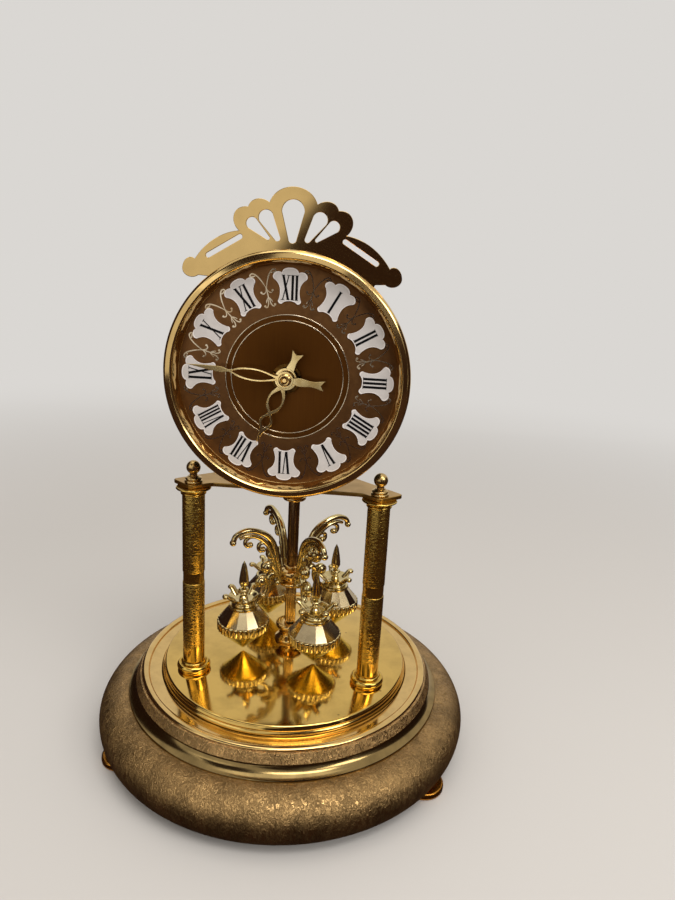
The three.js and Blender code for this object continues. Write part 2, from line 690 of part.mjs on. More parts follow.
// Crest: a pierced sheet of lobes and petals standing on the pan behind the top of the bezel.
// Its outline is drawn in shares of its half width and of its rise above the dial's middle.
function makeCrest() {
  const rise = bezelRadius + CREST_ABOVE_BEZEL;
  const innerRadius = caseRadius + CASE_CREST_GAP;
  const spread = THREE.MathUtils.degToRad(CREST_SPREAD_DEGREES);
  const at = ([x, y], side) => [side * x * CREST_HALF_WIDTH, y * rise];
  const foot = [0.855, 0.527];
  const ballUnder = [[0.92, 0.497], [1.023, 0.527], [1, 0.573]];
  const ballOver = [[0.989, 0.614], [0.92, 0.633], [0.887, 0.611]];
  const wing = [[0.805, 0.689], [0.655, 0.757], [0.487, 0.768]];
  const sideLobe = [[0.575, 0.812], [0.547, 0.898], [0.405, 0.891]];
  const innerLobe = [[0.382, 0.936], [0.287, 0.947], [0.214, 0.917]];
  const topLobe = [[0.152, 1.0275], [-0.152, 1.0275], [-0.214, 0.917]];
  const rightCurves = [ballUnder, ballOver, wing, sideLobe, innerLobe];
  const starts = [foot, ...rightCurves.map((curve) => curve[2])];

  const outline = new THREE.Shape();
  outline.moveTo(innerRadius * Math.sin(spread), innerRadius * Math.cos(spread));
  outline.lineTo(...at(foot, 1));
  for (const curve of [...rightCurves, topLobe]) outline.bezierCurveTo(...curve.flatMap((p) => at(p, 1)));
  for (let i = rightCurves.length - 1; i >= 0; i -= 1) {
    const [first, second] = rightCurves[i];
    outline.bezierCurveTo(...[second, first, starts[i]].flatMap((p) => at(p, -1)));
  }
  outline.lineTo(-innerRadius * Math.sin(spread), innerRadius * Math.cos(spread));
  outline.absarc(0, 0, innerRadius, Math.PI / 2 + spread, Math.PI / 2 - spread, true);

  const sidePetals = [
    { foot: [0.136, 0.738], footWidth: 0.051, tip: [0.241, 0.84], tipRadius: 0.067 },
    { foot: [0.221, 0.737], footWidth: 0.032, tip: [0.366, 0.808], tipRadius: 0.053 },
    { foot: [0.474, 0.737], footWidth: 0.044, tip: [0.763, 0.634], tipRadius: 0.022 },
  ];
  const middlePetal = { foot: [0, 0.738], footWidth: 0.074, tip: [0, 0.877], tipRadius: 0.101 };
  const addPetal = (shape, side) => {
    const [footWidth, tipRadius] = [shape.footWidth * CREST_HALF_WIDTH, shape.tipRadius * CREST_HALF_WIDTH];
    outline.holes.push(petal(...at(shape.foot, side), footWidth, ...at(shape.tip, side), tipRadius));
  };
  addPetal(middlePetal, 1);
  for (const shape of sidePetals) {
    addPetal(shape, -1);
    addPetal(shape, 1);
  }
  addPiece('crest', sheet(outline, panBackY, panBackY + CREST_THICKNESS, 4), polishedBrass);
}

// Hand outline from its right-hand edge and its open loops, in shares of its half width and of its length
function handShape(halfWidth, length, edge, loops) {
  const shape = new THREE.Shape();
  const right = edge.map(([across, along]) => [across * halfWidth, along * length]);
  shape.moveTo(...right[0]);
  for (const point of right.slice(1)) shape.lineTo(...point);
  for (const [x, y] of right.reverse()) if (x > 0) shape.lineTo(-x, y);
  shape.closePath();
  for (const [low, high, across] of loops) {
    const middle = (low + high) / 2;
    const loop = new THREE.Path();
    loop.moveTo(0, low * length);
    loop.quadraticCurveTo(2 * across * halfWidth, middle * length, 0, high * length);
    loop.quadraticCurveTo(-2 * across * halfWidth, middle * length, 0, low * length);
    shape.holes.push(loop);
  }
  return shape;
}

function makeHand(name, shape, backY, boreRadius, degrees) {
  const frontY = backY - HAND_THICKNESS;
  const hub = turnedOnDial(rod(boreRadius + HAND_HUB_WALL, frontY, backY), SMALL_ROUND);
  const bore = turnedOnDial(rod(boreRadius, frontY - SHEET, backY + SHEET), PIN_ROUND);
  const hand = cut(join(sheet(shape, frontY, backY, 4), hub), bore);
  addPiece(name, clockwise(hand, degrees), satinBrass);
}

function makeHands() {
  const minuteEdge = [
    [0, -0.362], [0.82, -0.397], [0.46, -0.273], [0.68, -0.149], [0.43, -0.074], [0.39, 0.084], [0.86, 0.223],
    [1, 0.335], [0.79, 0.459], [0.21, 0.561], [0.46, 0.645], [0.32, 0.794], [0, 1],
  ];
  const minuteLoops = [[0.124, 0.531, 0.61]];
  const minuteShape = handShape(MINUTE_HAND_HALF_WIDTH, MINUTE_HAND_LENGTH, minuteEdge, minuteLoops);
  makeHand('minute_hand', minuteShape, minuteHandBackY, handBore, 6 * MINUTES_PAST_TWELVE);

  const hourEdge = [
    [0, -0.358], [0.71, -0.399], [0.38, -0.27], [0.5, -0.135], [0.44, 0.101], [0.88, 0.236], [1, 0.338],
    [0.76, 0.456], [0.26, 0.534], [0.76, 0.622], [0.76, 0.696], [0.26, 0.811], [0, 1],
  ];
  const hourLoops = [[0.189, 0.486, 0.65], [0.574, 0.743, 0.38]];
  const hourShape = handShape(HOUR_HAND_HALF_WIDTH, HOUR_HAND_LENGTH, hourEdge, hourLoops);
  makeHand('hour_hand', hourShape, hourHandBackY, hourPipeRadius + SEAT_GAP, MINUTES_PAST_TWELVE / 2);

  const nutRadius = ARBOR_RADIUS + HAND_NUT_WALL;
  const nutShoulderY = minuteHandFrontY - HAND_NUT_LENGTH / 2;
  const nutProfile = [
    [0, minuteHandFrontY - HAND_NUT_LENGTH],
    [nutRadius * 0.6, minuteHandFrontY - HAND_NUT_LENGTH],
    [nutRadius, nutShoulderY],
    [nutRadius, minuteHandFrontY],
    [handBore, minuteHandFrontY],
    [handBore, nutShoulderY - SEAT_GAP],
    [0, nutShoulderY - SEAT_GAP],
  ];
  addPiece('hand_nut', turnedOnDial(nutProfile, SMALL_ROUND), polishedBrass);
}

// Gear wheel between two depths on the dial's axis, with a tooth or a space at the top
function gearWheel(teeth, module, toothAtTop, frontY, backY) {
  const pitchRadius = module * teeth / 2;
  const tipRadius = pitchRadius + 0.7 * module;
  const rootRadius = pitchRadius - module;
  const pitch = 2 * Math.PI / teeth;
  const shape = new THREE.Shape();
  for (let i = 0; i < teeth; i += 1) {
    const middle = Math.PI / 2 + pitch * (i + (toothAtTop ? 0 : 0.5));
    const corners = [[rootRadius, -0.25], [tipRadius, -0.11], [tipRadius, 0.11], [rootRadius, 0.25]];
    for (const [radius, offset] of corners) {
      const angle = middle + pitch * offset;
      const point = [radius * Math.cos(angle), radius * Math.sin(angle)];
      if (shape.curves.length || shape.currentPoint.length()) shape.lineTo(...point);
      else shape.moveTo(...point);
    }
  }
  shape.closePath();
  return sheet(shape, frontY, backY, 1);
}

// Motion work: the centre arbor drives the minute wheel, whose pinion drives the hour wheel
function makeMotionWork() {
  const wheelBackY = minuteWheelY + GEAR_THICKNESS;
  const arborTipY = minuteHandFrontY - HAND_NUT_LENGTH / 2;
  const arbor = turnedOnDial(rod(ARBOR_RADIUS, arborTipY, bearingBackY), PIN_ROUND);
  const centrePinion = gearWheel(PINION_TEETH, GEAR_MODULE, true, minuteWheelY, wheelBackY);
  addPiece('centre_arbor', join(arbor, centrePinion), steel);

  const pipeFrontY = hourHandBackY - HAND_THICKNESS - SEAT_GAP;
  const pipe = turnedOnDial(rod(hourPipeRadius, pipeFrontY, hourWheelY + GEAR_THICKNESS), PIN_ROUND);
  const hourWheel = gearWheel(HOUR_WHEEL_TEETH, hourModule, false, hourWheelY, hourWheelY + GEAR_THICKNESS);
  const pipeBore = turnedOnDial(rod(hourPipeBore, pipeFrontY - SHEET, wheelBackY), PIN_ROUND);
  addPiece('hour_wheel', cut(join(pipe, hourWheel), pipeBore), palePlastic);

  const arborEndY = coverBackY + KNOB_LENGTH - SHEET;
  const setArbor = turnedOnDial(rod(ARBOR_RADIUS, caseInsideY - CASE_WALL / 2, arborEndY), PIN_ROUND);
  const minuteWheel = gearWheel(MINUTE_WHEEL_TEETH, GEAR_MODULE, false, minuteWheelY, wheelBackY);
  const minutePinion = gearWheel(PINION_TEETH, hourModule, true, hourWheelY, minuteWheelY + GEAR_SPACING);
  const setting = new THREE.Group();
  setting.position.z = gearDistance;
  clock.add(setting);
  const setGears = [clockwise(minuteWheel, 180), clockwise(minutePinion, 180)];
  addPiece('minute_wheel', join(setArbor, ...setGears), palePlastic, setting);

  const knobY = coverBackY + 2 * SEAT_GAP;
  const knobEndY = coverBackY + KNOB_LENGTH;
  const knobProfile = [
    [0, arborEndY + SEAT_GAP],
    [ARBOR_RADIUS + SEAT_GAP, arborEndY + SEAT_GAP],
    [ARBOR_RADIUS + SEAT_GAP, knobY],
    [KNOB_RADIUS - SHEET, knobY],
    [KNOB_RADIUS, knobY + SHEET],
    [KNOB_RADIUS, knobEndY - SHEET / 2],
    [KNOB_RADIUS - SHEET / 2, knobEndY + SHEET / 2],
    [0, knobEndY + SHEET / 2],
  ];
  addPiece('set_knob', turnedOnDial(knobProfile, SMALL_ROUND), darkPlastic, setting);
}

// Movement case: a drum behind the dial with a neck that stands on the top plate
function makeMovement() {
  const drum = turnedOnDial(rod(caseRadius, panBackY, caseBackY), CASE_ROUND);
  const neckHalf = CASE_NECK_WIDTH / 2;
  const neckY = panBackY + CASE_NECK_INSET;
  const neck = box(-neckHalf, neckHalf, neckY, caseBackY, plateTopZ, dialZ);
  const spigotEndY = DIAL_FACE_Y - DIAL_NUT_THICKNESS - SPIGOT_PROUD;
  const spigot = turnedOnDial(rod(CASE_SPIGOT_RADIUS, spigotEndY, caseInsideY), SMALL_ROUND);
  const outY = coverBackY + SHEET;
  const hollow = turnedOnDial(rod(caseRadius - CASE_WALL, caseInsideY, outY), CASE_ROUND);
  const neckInside = neckHalf - CASE_WALL;
  const neckHollow = box(-neckInside, neckInside, neckY + CASE_WALL, outY, caseFloorZ, dialZ);
  const spigotBoreRadius = hourPipeRadius + RUNNING_GAP;
  const spigotBore = turnedOnDial(rod(spigotBoreRadius, spigotEndY - SHEET, outY), PIN_ROUND);
  const setHole = turnedOnDial(rod(ARBOR_RADIUS + RUNNING_GAP, panBackY - SHEET, outY), PIN_ROUND);
  setHole.translate(0, 0, gearDistance);
  const bushHole = holeAt(bushNeckRadius + SEAT_GAP, 0, PENDULUM_Y, plateTopZ - SHEET, caseFloorZ + SHEET);
  const shell = cut(join(drum, neck, spigot), hollow, neckHollow, spigotBore, setHole, bushHole);
  addPiece('movement_case', shell, darkPlastic);

  const lid = turnedOnDial(rod(caseRadius, caseBackY, coverBackY), CASE_ROUND);
  const lidNeck = box(-neckHalf, neckHalf, caseBackY, coverBackY, plateTopZ, dialZ);
  const cellZ = dialZ - BATTERY_DROP;
  const cellY = coverBackY - BATTERY_RADIUS - SEAT_GAP;
  const bayY = cellY - bayRise;
  const trayFrontY = bayY - SHEET;
  const trayBackY = coverBackY - CASE_WALL / 2;
  const tray = box(-trayHalf, trayHalf, trayFrontY, trayBackY, cellZ - trayRise, cellZ + trayRise);
  const bay = box(-bayHalf, bayHalf, bayY, outY, cellZ - bayRise, cellZ + bayRise);
  addPiece('movement_cover', cut(join(lid, lidNeck, tray), bay, setHole), darkPlastic);

  const cell = groupAt(0, cellY, cellZ);
  const terminalRadius = BATTERY_RADIUS * 0.38;
  const terminalHeight = SHEET;
  const cellProfile = [
    [0, -BATTERY_LENGTH / 2],
    [BATTERY_RADIUS, -BATTERY_LENGTH / 2],
    [BATTERY_RADIUS, BATTERY_LENGTH / 2 - terminalHeight],
    [terminalRadius, BATTERY_LENGTH / 2 - terminalHeight],
    [terminalRadius, BATTERY_LENGTH / 2],
    [0, BATTERY_LENGTH / 2],
  ];
  const battery = addPiece('battery', turned(cellProfile, SMALL_ROUND), cellJacket, cell);
  battery.rotation.y = Math.PI / 2;
  const contactThickness = CONTACT_TRAVEL - 2 * SEAT_GAP;
  for (const [name, side] of [['minus', -1], ['plus', 1]]) {
    const contact = turned(rod(terminalRadius, -contactThickness / 2, contactThickness / 2), PIN_ROUND);
    const mesh = addPiece(`battery_contact_${name}`, contact, steel, cell);
    mesh.rotation.y = Math.PI / 2;
    mesh.position.x = side * (BATTERY_LENGTH + CONTACT_TRAVEL) / 2;
  }

  const bearingRadius = caseRadius - CASE_WALL - SEAT_GAP;
  const bearing = turnedOnDial(rod(bearingRadius, bearingY, bearingBackY), CASE_ROUND);
  const centreHole = turnedOnDial(rod(ARBOR_RADIUS + RUNNING_GAP, bearingY - SHEET, outY), PIN_ROUND);
  addPiece('bearing_plate', cut(bearing, centreHole, setHole), palePlastic);

  const motorX = -ARBOR_RADIUS - MOTOR_GAP;
  const motorZ = dialZ + MOTOR_HEIGHT / 3;
  const motor = box(motorX - MOTOR_WIDTH, motorX, bearingBackY, bearingBackY + MOTOR_DEPTH,
    motorZ - MOTOR_HEIGHT, motorZ);
  addPiece('quartz_motor', motor, darkPlastic);

  const coilZ = caseFloorZ + SEAT_GAP + COIL_RADIUS;
  const coilEndY = PENDULUM_Y - MAGNET_RADIUS - SHEET;
  const flangeWidth = SHEET;
  const coilProfile = [
    [0, coilEndY - COIL_LENGTH],
    [COIL_RADIUS, coilEndY - COIL_LENGTH],
    [COIL_RADIUS, coilEndY - COIL_LENGTH + flangeWidth],
    [COIL_RADIUS * 0.85, coilEndY - COIL_LENGTH + flangeWidth],
    [COIL_RADIUS * 0.85, coilEndY - flangeWidth],
    [COIL_RADIUS, coilEndY - flangeWidth],
    [COIL_RADIUS, coilEndY],
    [0, coilEndY],
  ];
  const coil = turnedOnDial(coilProfile, SMALL_ROUND);
  coil.translate(0, 0, coilZ - dialZ);
  addPiece('drive_coil', coil, copperWire);
}

function makePendulumStem() {
  const stem = groupAt(0, PENDULUM_Y, 0);
  const bushBore = PENDULUM_SHAFT_RADIUS + RUNNING_GAP;
  const bushProfile = closed([
    [bushBore, bushLowZ],
    [BUSH_RADIUS * 0.9, bushLowZ],
    [BUSH_RADIUS, bushLowZ + SHEET],
    [BUSH_RADIUS * 0.8, bushLowZ + 2 * SHEET],
    [BUSH_RADIUS * 0.8, plateZ],
    [bushNeckRadius, plateZ],
    [bushNeckRadius, bushTopZ],
    [bushBore, bushTopZ],
  ]);
  addPiece('pendulum_bush', turned(bushProfile, SMALL_ROUND), polishedBrass, stem);

  const shaftLowZ = guideTopZ - GUIDE_HEIGHT / 2;
  const shaftTopZ = magnetZ + MAGNET_HEIGHT - SHEET;
  const shaft = turned(rod(PENDULUM_SHAFT_RADIUS, shaftLowZ, shaftTopZ), PIN_ROUND);
  addPiece('pendulum_shaft', shaft, steel, stem);

  const magnetProfile = [
    [0, shaftTopZ + SEAT_GAP],
    [sleeveBore, shaftTopZ + SEAT_GAP],
    [sleeveBore, magnetZ],
    [MAGNET_RADIUS, magnetZ],
    [MAGNET_RADIUS, magnetZ + MAGNET_HEIGHT],
    [0, magnetZ + MAGNET_HEIGHT],
  ];
  addPiece('drive_magnet', turned(magnetProfile, SMALL_ROUND), blackIron, stem);

  const sleeve = ring(sleeveBore, ROD_RADIUS, hubTopZ, bushLowZ - RUNNING_GAP);
  addPiece('rod_sleeve', turned(sleeve, SMALL_ROUND), columnBrass, stem);

  const hubProfile = closed([
    [sleeveBore, hubZ],
    [HUB_RADIUS * 0.8, hubZ],
    [HUB_RADIUS, hubZ + HUB_HEIGHT * 0.12],
    [HUB_RADIUS * 0.75, hubZ + HUB_HEIGHT * 0.25],
    [HUB_RADIUS, hubZ + HUB_HEIGHT * 0.4],
    [HUB_RADIUS, hubZ + HUB_HEIGHT * 0.75],
    [HUB_RADIUS * 0.6, hubTopZ],
    [sleeveBore, hubTopZ],
  ]);
  addPiece('pendulum_hub', turned(hubProfile, SMALL_ROUND), polishedBrass, stem);

  const fluted = new THREE.Shape();
  for (let i = 0; i <= 2 * SPINDLE_FLUTES; i += 1) {
    const angle = Math.PI * i / SPINDLE_FLUTES;
    const radius = i % 2 ? ROD_RADIUS * 0.88 : ROD_RADIUS;
    if (i === 0) fluted.moveTo(radius, 0);
    else fluted.lineTo(radius * Math.cos(angle), radius * Math.sin(angle));
  }
  const spindle = new THREE.ExtrudeGeometry(fluted, { depth: hubZ - spindleZ, bevelEnabled: false });
  spindle.translate(0, 0, spindleZ);
  const spindleBore = turned(rod(sleeveBore, spindleZ - SHEET, hubZ + SHEET), PIN_ROUND);
  addPiece('fluted_spindle', cut(tidy(spindle), spindleBore), polishedBrass, stem);
}

// One scroll arm in its own radial plane: the leaf above, the S-shaped bracket and the eye over the weight
function scrollArm() {
  const root = HUB_RADIUS + SEAT_GAP + LEAF_THICKNESS / 2;
  const rootZ = hubZ + HUB_HEIGHT * 0.55;
  const leafTopZ = hubTopZ + LEAF_RISE;
  const rise = leafTopZ - rootZ;
  const reach = LEAF_REACH - root;
  const onLeaf = (along, up) => [root + along * reach, rootZ + up * rise];
  const leafPath = [
    [0, 0], [0.03, 0.3], [0.11, 0.64], [0.24, 0.83], [0.48, 0.96], [0.72, 1], [0.93, 0.92], [0.97, 0.78],
  ];
  const half = LEAF_THICKNESS / 2;
  const leafRadius = (t) => half * (1.1 - 0.45 * t);
  const leaf = taperedTube(leafPath.map(([x, z]) => onLeaf(x, z)), leafRadius, 8, 4);
  const curlPaths = [
    [[0.46, 0.93], [0.64, 0.88], [0.72, 0.79], [0.63, 0.7]],
    [[0.19, 0.76], [0.36, 0.76], [0.43, 0.66], [0.345, 0.57]],
    [[0.03, 0.5], [0.13, 0.58], [0.19, 0.5], [0.1, 0.41]],
  ];
  const curls = curlPaths.map((path) => {
    const points = path.map(([x, z]) => onLeaf(x, z));
    return taperedTube(points, (t) => half * (0.55 + 0.25 * t), 3, 3);
  });
  const eye = turned(rod(WEIGHT_TOP_RADIUS, eyeZ, crownZ), SMALL_ROUND);
  eye.translate(ARM_REACH, 0, 0);
  const eyeHole = turned(rod(WEIGHT_STUD_RADIUS + SEAT_GAP, eyeZ - SHEET, crownZ + SHEET), PIN_ROUND);
  eyeHole.translate(ARM_REACH, 0, 0);
  const eyeEdge = ARM_REACH - WEIGHT_TOP_RADIUS;
  const span = eyeEdge - root;
  const fall = rootZ - crownZ;
  const onBracket = ([out, up]) => [root + out * span, rootZ + up * fall];
  const sPath = [
    [0, 0], [0.1, 0.45], [0.34, 0.72], [0.62, 0.6], [0.5, 0.1], [0.52, -0.4], [0.76, -0.8],
  ].map(onBracket);
  sPath.push([eyeEdge + half * 0.3, crownZ - EYE_THICKNESS / 2]);
  const bracket = taperedTube(sPath, (t) => half * (0.95 - 0.45 * t), 6, 4);
  const knobRadius = half * 1.5;
  const [stripX, stripZ] = onBracket([0.52, -0.12]);
  const upperKnob = ball(knobRadius, ...onBracket([0.54, 0.5]));
  const lowerKnob = ball(knobRadius, stripX + knobRadius * 1.2, stripZ);
  return cut(join(leaf, ...curls, bracket, eye, upperKnob, lowerKnob), eyeHole);
}

// One weight: a plain cone below, a fluted band and a faceted cone above, with a stud for its crown
function weight() {
  const coneRadius = WEIGHT_RADIUS - WEIGHT_FLUTE_DEPTH - WEIGHT_LEDGE;
  const bandMiddleZ = weightBandZ + WEIGHT_BAND_HEIGHT / 2;
  const upper = turned([
    [0, bandMiddleZ],
    [coneRadius, bandMiddleZ],
    [coneRadius, weightShoulderZ],
    [WEIGHT_TOP_RADIUS, eyeZ],
    [0, eyeZ],
  ], WEIGHT_FACETS);
  const lower = turned([
    [0, weightZ],
    [WEIGHT_TIP_RADIUS, weightZ],
    [coneRadius, weightBandZ],
    [coneRadius, bandMiddleZ],
    [0, bandMiddleZ],
  ], SMALL_ROUND);
  const outline = new THREE.Shape();
  for (let i = 0; i <= 2 * WEIGHT_FLUTES; i += 1) {
    const angle = Math.PI * i / WEIGHT_FLUTES;
    const radius = i % 2 ? WEIGHT_RADIUS - WEIGHT_FLUTE_DEPTH : WEIGHT_RADIUS;
    if (i === 0) outline.moveTo(radius, 0);
    else outline.lineTo(radius * Math.cos(angle), radius * Math.sin(angle));
  }
  const band = new THREE.ExtrudeGeometry(outline, { depth: WEIGHT_BAND_HEIGHT, bevelEnabled: false });
  band.translate(0, 0, weightBandZ);
  const stud = turned(rod(WEIGHT_STUD_RADIUS, eyeZ - SHEET, studTopZ), PIN_ROUND);
  return join(lower, tidy(band), upper, stud);
}

// One crown: a flared cup with curled petals and a tall faceted spear
function crown() {
  const bore = WEIGHT_STUD_RADIUS + SEAT_GAP;
  const collar = WEIGHT_TOP_RADIUS - SHEET;
  const cup = turned([
    [0, studTopZ + SEAT_GAP],
    [bore, studTopZ + SEAT_GAP],
    [bore, crownZ],
    [collar, crownZ],
    [collar * 0.85, crownZ + CROWN_HEIGHT * 0.22],
    [collar * 1.25, crownZ + CROWN_HEIGHT * 0.55],
    [bore + SHEET, crownZ + CROWN_HEIGHT * 0.65],
    [SHEET * 0.9, crownTopZ],
    [SHEET * 2, crownTopZ + SPEAR_HEIGHT * 0.2],
    [SHEET * 1.5, crownTopZ + SPEAR_HEIGHT * 0.58],
    [0, crownTopZ + SPEAR_HEIGHT],
  ], PIN_ROUND);
  const petals = [];
  for (let i = 0; i < CROWN_PETALS; i += 1) {
    const path = [[collar, crownZ + CROWN_HEIGHT * 0.4], [collar * 1.35, crownZ + CROWN_HEIGHT * 0.62],
      [collar * 1.6, crownZ + CROWN_HEIGHT * 0.7]];
    const curl = taperedTube(path, (t) => SHEET * (0.75 + 0.15 * t), 2, 3);
    curl.rotateZ(2 * Math.PI * i / CROWN_PETALS);
    petals.push(curl);
  }
  return join(cup, ...petals);
}

function makePendulumArms() {
  for (let quarter = 0; quarter < 4; quarter += 1) {
    const number = quarter + 1;
    const arm = groupAt(0, PENDULUM_Y, 0, PENDULUM_TURN_DEGREES + 90 * quarter);
    addPiece(`scroll_arm_${number}`, scrollArm(), polishedBrass, arm);
    const bob = addPiece(`weight_${number}`, weight(), paleGilt, arm);
    bob.position.x = ARM_REACH;
    const top = addPiece(`crown_${number}`, crown(), polishedBrass, arm);
    top.position.x = ARM_REACH;
  }
}

makeBase();
makeColumns();
makeTopPlate();
makeDial();
makeCrest();
makeHands();
makeMotionWork();
makeMovement();
makePendulumStem();
makePendulumArms();

export default clock;
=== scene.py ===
"""A gilt table clock with a turning pendulum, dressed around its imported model.

Shapes are drawn in millimetres and brought to metres when a piece is finished.
"""

import math

import bmesh
import bpy
from mathutils import Matrix, Vector


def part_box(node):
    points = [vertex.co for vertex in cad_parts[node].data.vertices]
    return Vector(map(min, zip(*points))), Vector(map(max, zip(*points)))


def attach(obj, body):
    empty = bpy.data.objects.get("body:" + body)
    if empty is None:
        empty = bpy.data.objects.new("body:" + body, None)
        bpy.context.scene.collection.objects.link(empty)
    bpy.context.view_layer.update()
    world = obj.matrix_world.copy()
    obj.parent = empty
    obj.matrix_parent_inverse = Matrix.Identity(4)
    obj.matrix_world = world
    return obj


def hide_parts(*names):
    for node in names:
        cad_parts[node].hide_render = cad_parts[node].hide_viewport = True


bl_info = {
    "name": "Turning-pendulum table clock",
    "version": (1, 0, 0),
    "blender": (4, 5, 0),
    "location": "View3D > Sidebar > Clock",
    "description": "Dresses the packed table clock with its metalwork, dial and pendulum",
    "category": "Object",
}

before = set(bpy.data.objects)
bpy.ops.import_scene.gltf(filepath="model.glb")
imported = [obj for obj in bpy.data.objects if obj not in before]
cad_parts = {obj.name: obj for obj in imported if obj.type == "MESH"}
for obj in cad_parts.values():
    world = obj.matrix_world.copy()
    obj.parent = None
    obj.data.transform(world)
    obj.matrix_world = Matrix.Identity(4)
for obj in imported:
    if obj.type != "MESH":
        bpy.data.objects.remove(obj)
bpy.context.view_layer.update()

MM = 0.001

# Corners nearer than this, in millimetres, are taken as one.
MERGE = 1e-4


def span(cad_node):
    """Lowest and highest corner of a CAD node, in millimetres."""
    low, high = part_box(cad_node)
    return low / MM, high / MM


def hex_colour(code):
    """Linear colour of an sRGB hex code."""
    shares = [int(code[i : i + 2], 16) / 255 for i in (0, 2, 4)]
    linear = [c / 12.92 if c <= 0.04045 else ((c + 0.055) / 1.055) ** 2.4 for c in shares]
    return (*linear, 1.0)


DIAL_Z = (span("bezel")[0].z + span("bezel")[1].z) / 2
DIAL_FACE = 0.8 - span("dial_plate")[1].y
CHAPTER_RINGS = (22.9, 25.2)
PENDULUM_Y = (span("fluted_spindle")[0].y + span("fluted_spindle")[1].y) / 2
WEIGHT_MIDDLE = (span("weight_1")[0] + span("weight_1")[1]) / 2
ARM_REACH = math.hypot(WEIGHT_MIDDLE.x, WEIGHT_MIDDLE.y - PENDULUM_Y)
ARM_TURN = math.atan2(WEIGHT_MIDDLE.y - PENDULUM_Y, WEIGHT_MIDDLE.x)
EYE_TOP = span("crown_1")[0].z
EYE_BOTTOM = EYE_TOP - 1.4

# Bores for the columns' tie rods, the arbors, the hour wheel's pipe, the pendulum's shaft and the studs.
ROD_BORE = 2.2
ARBOR_BORE = 1.8
PIPE_BORE = 2.9
SHAFT_BORE = 1.8
STUD_BORE = 1.6

# Dial drawings have x to the right, y up from the dial's middle and z out of the dial.
ON_DIAL = Matrix.Translation((0, 0, DIAL_Z)) @ Matrix.Rotation(math.pi / 2, 4, "X")
ON_AXIS = Matrix.Translation((0, PENDULUM_Y, 0))


def length_setting(name, description, millimetres):
    """A property for a length, kept in metres."""
    return bpy.props.FloatProperty(
        name=name, description=description, default=millimetres * MM, unit="LENGTH"
    )


def count_setting(name, description, number):
    """A property for a number of things."""
    return bpy.props.IntProperty(name=name, description=description, default=number)


def colour_setting(name, description, code):
    """A property for a colour, given as an sRGB hex code."""
    return bpy.props.FloatVectorProperty(
        name=name, description=description, default=hex_colour(code), subtype="COLOR", size=4
    )


class ClockSizes(bpy.types.PropertyGroup):
    """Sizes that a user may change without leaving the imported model."""

    numeral_height: length_setting("Numeral height", "Height of the Roman numerals", 9.6)
    numeral_stroke: length_setting("Numeral stroke", "Width of the thick strokes of the numerals", 0.95)
    numeral_width: length_setting("Numeral width", "Most width that a numeral takes on its cartouche", 6.4)
    scroll_line: length_setting("Scroll line", "Half width of the scroll lines between the cartouches", 0.38)
    sheet_edge: length_setting("Sheet edge", "Rounding of the edges of the pierced crest", 0.18)
    leaf_ridge: length_setting("Leaf ridge", "Radius of the main ridge of a scroll leaf at its root", 1.5)
    volute: length_setting("Volute", "Radius of the rolled ends of the arm's bracket", 2.8)
    weight_reeds: count_setting("Weight reeds", "Reeds round the band of a weight", 30)
    weight_facets: count_setting("Weight facets", "Flat facets round the upper cone of a weight", 14)
    crown_petals: count_setting("Crown petals", "Curled petals round the crown of a weight", 5)


class ClockColours(bpy.types.PropertyGroup):
    """Colours of the finishes, as scene-linear values."""

    gilt: colour_setting("Polished gilt", "Lacquered polished brass of the turned pieces", "E8C480")
    mirror: colour_setting("Mirror brass", "Raised disc under the pendulum", "E6C06C")
    bark: colour_setting("Bark brass", "Grained brass of the base", "B89460")
    column: colour_setting("Column brass", "Rolled bark pattern of the columns", "E4BC5C")
    sheet: colour_setting("Sheet brass", "Satin plate on the columns", "C09850")
    cast: colour_setting("Cast gilt", "Pale gilt plate of the pendulum's castings", "DDC890")
    pale: colour_setting("Pale gilt", "Silvery facets of the weights", "CCB78E")
    dial: colour_setting("Dial brown", "Satin brown ground of the dial", "62390B")
    cartouche: colour_setting("Cartouche enamel", "Off-white enamel behind the numerals", "BAB3AE")
    floor: colour_setting("Floor", "Pale floor of the studio", "C6C1BB")


# Materials

# Sockets of the colour mixing node by number, since hidden ones share their names.
FACTOR, FIRST, SECOND, MIXED = 0, 6, 7, 2


def plug(tree, made, inputs):
    """Sets the inputs of a node to values, or links them to sockets."""
    for name, value in inputs.items():
        if isinstance(value, bpy.types.NodeSocket):
            tree.links.new(value, made.inputs[name])
        else:
            made.inputs[name].default_value = value


def node(tree, kind, output, inputs, **settings):
    """Adds one shader node with its settings and inputs, and gives the output that is asked for."""
    made = tree.nodes.new("ShaderNode" + kind)
    for name, value in settings.items():
        setattr(made, name, value)
    plug(tree, made, inputs)
    return made.outputs[output]


def per_mm(size):
    """Texture scale at which one feature of a pattern is about this many millimetres wide."""
    return 1 / (size * MM)


def shade(colour, share):
    """The colour made darker or lighter by a share."""
    return (*[c * share for c in colour[:3]], 1.0)


def tint(source, share=1.0):
    """One of the clock's colours, or a hex code, made darker or lighter by a share."""
    colours = bpy.context.scene.clock_colours
    colour = getattr(colours, source) if hasattr(colours, source) else hex_colour(source)
    return shade(colour, share)


def blank_material(name, colour, metallic, roughness):
    """A new material with one shader, and the tree to add its pattern to."""
    material = bpy.data.materials.new(name)
    material.use_nodes = True
    material.diffuse_color = colour
    tree = material.node_tree
    shader = tree.nodes["Principled BSDF"]
    plug(tree, shader, {"Base Color": colour, "Metallic": metallic, "Roughness": roughness})
    return material, tree, shader


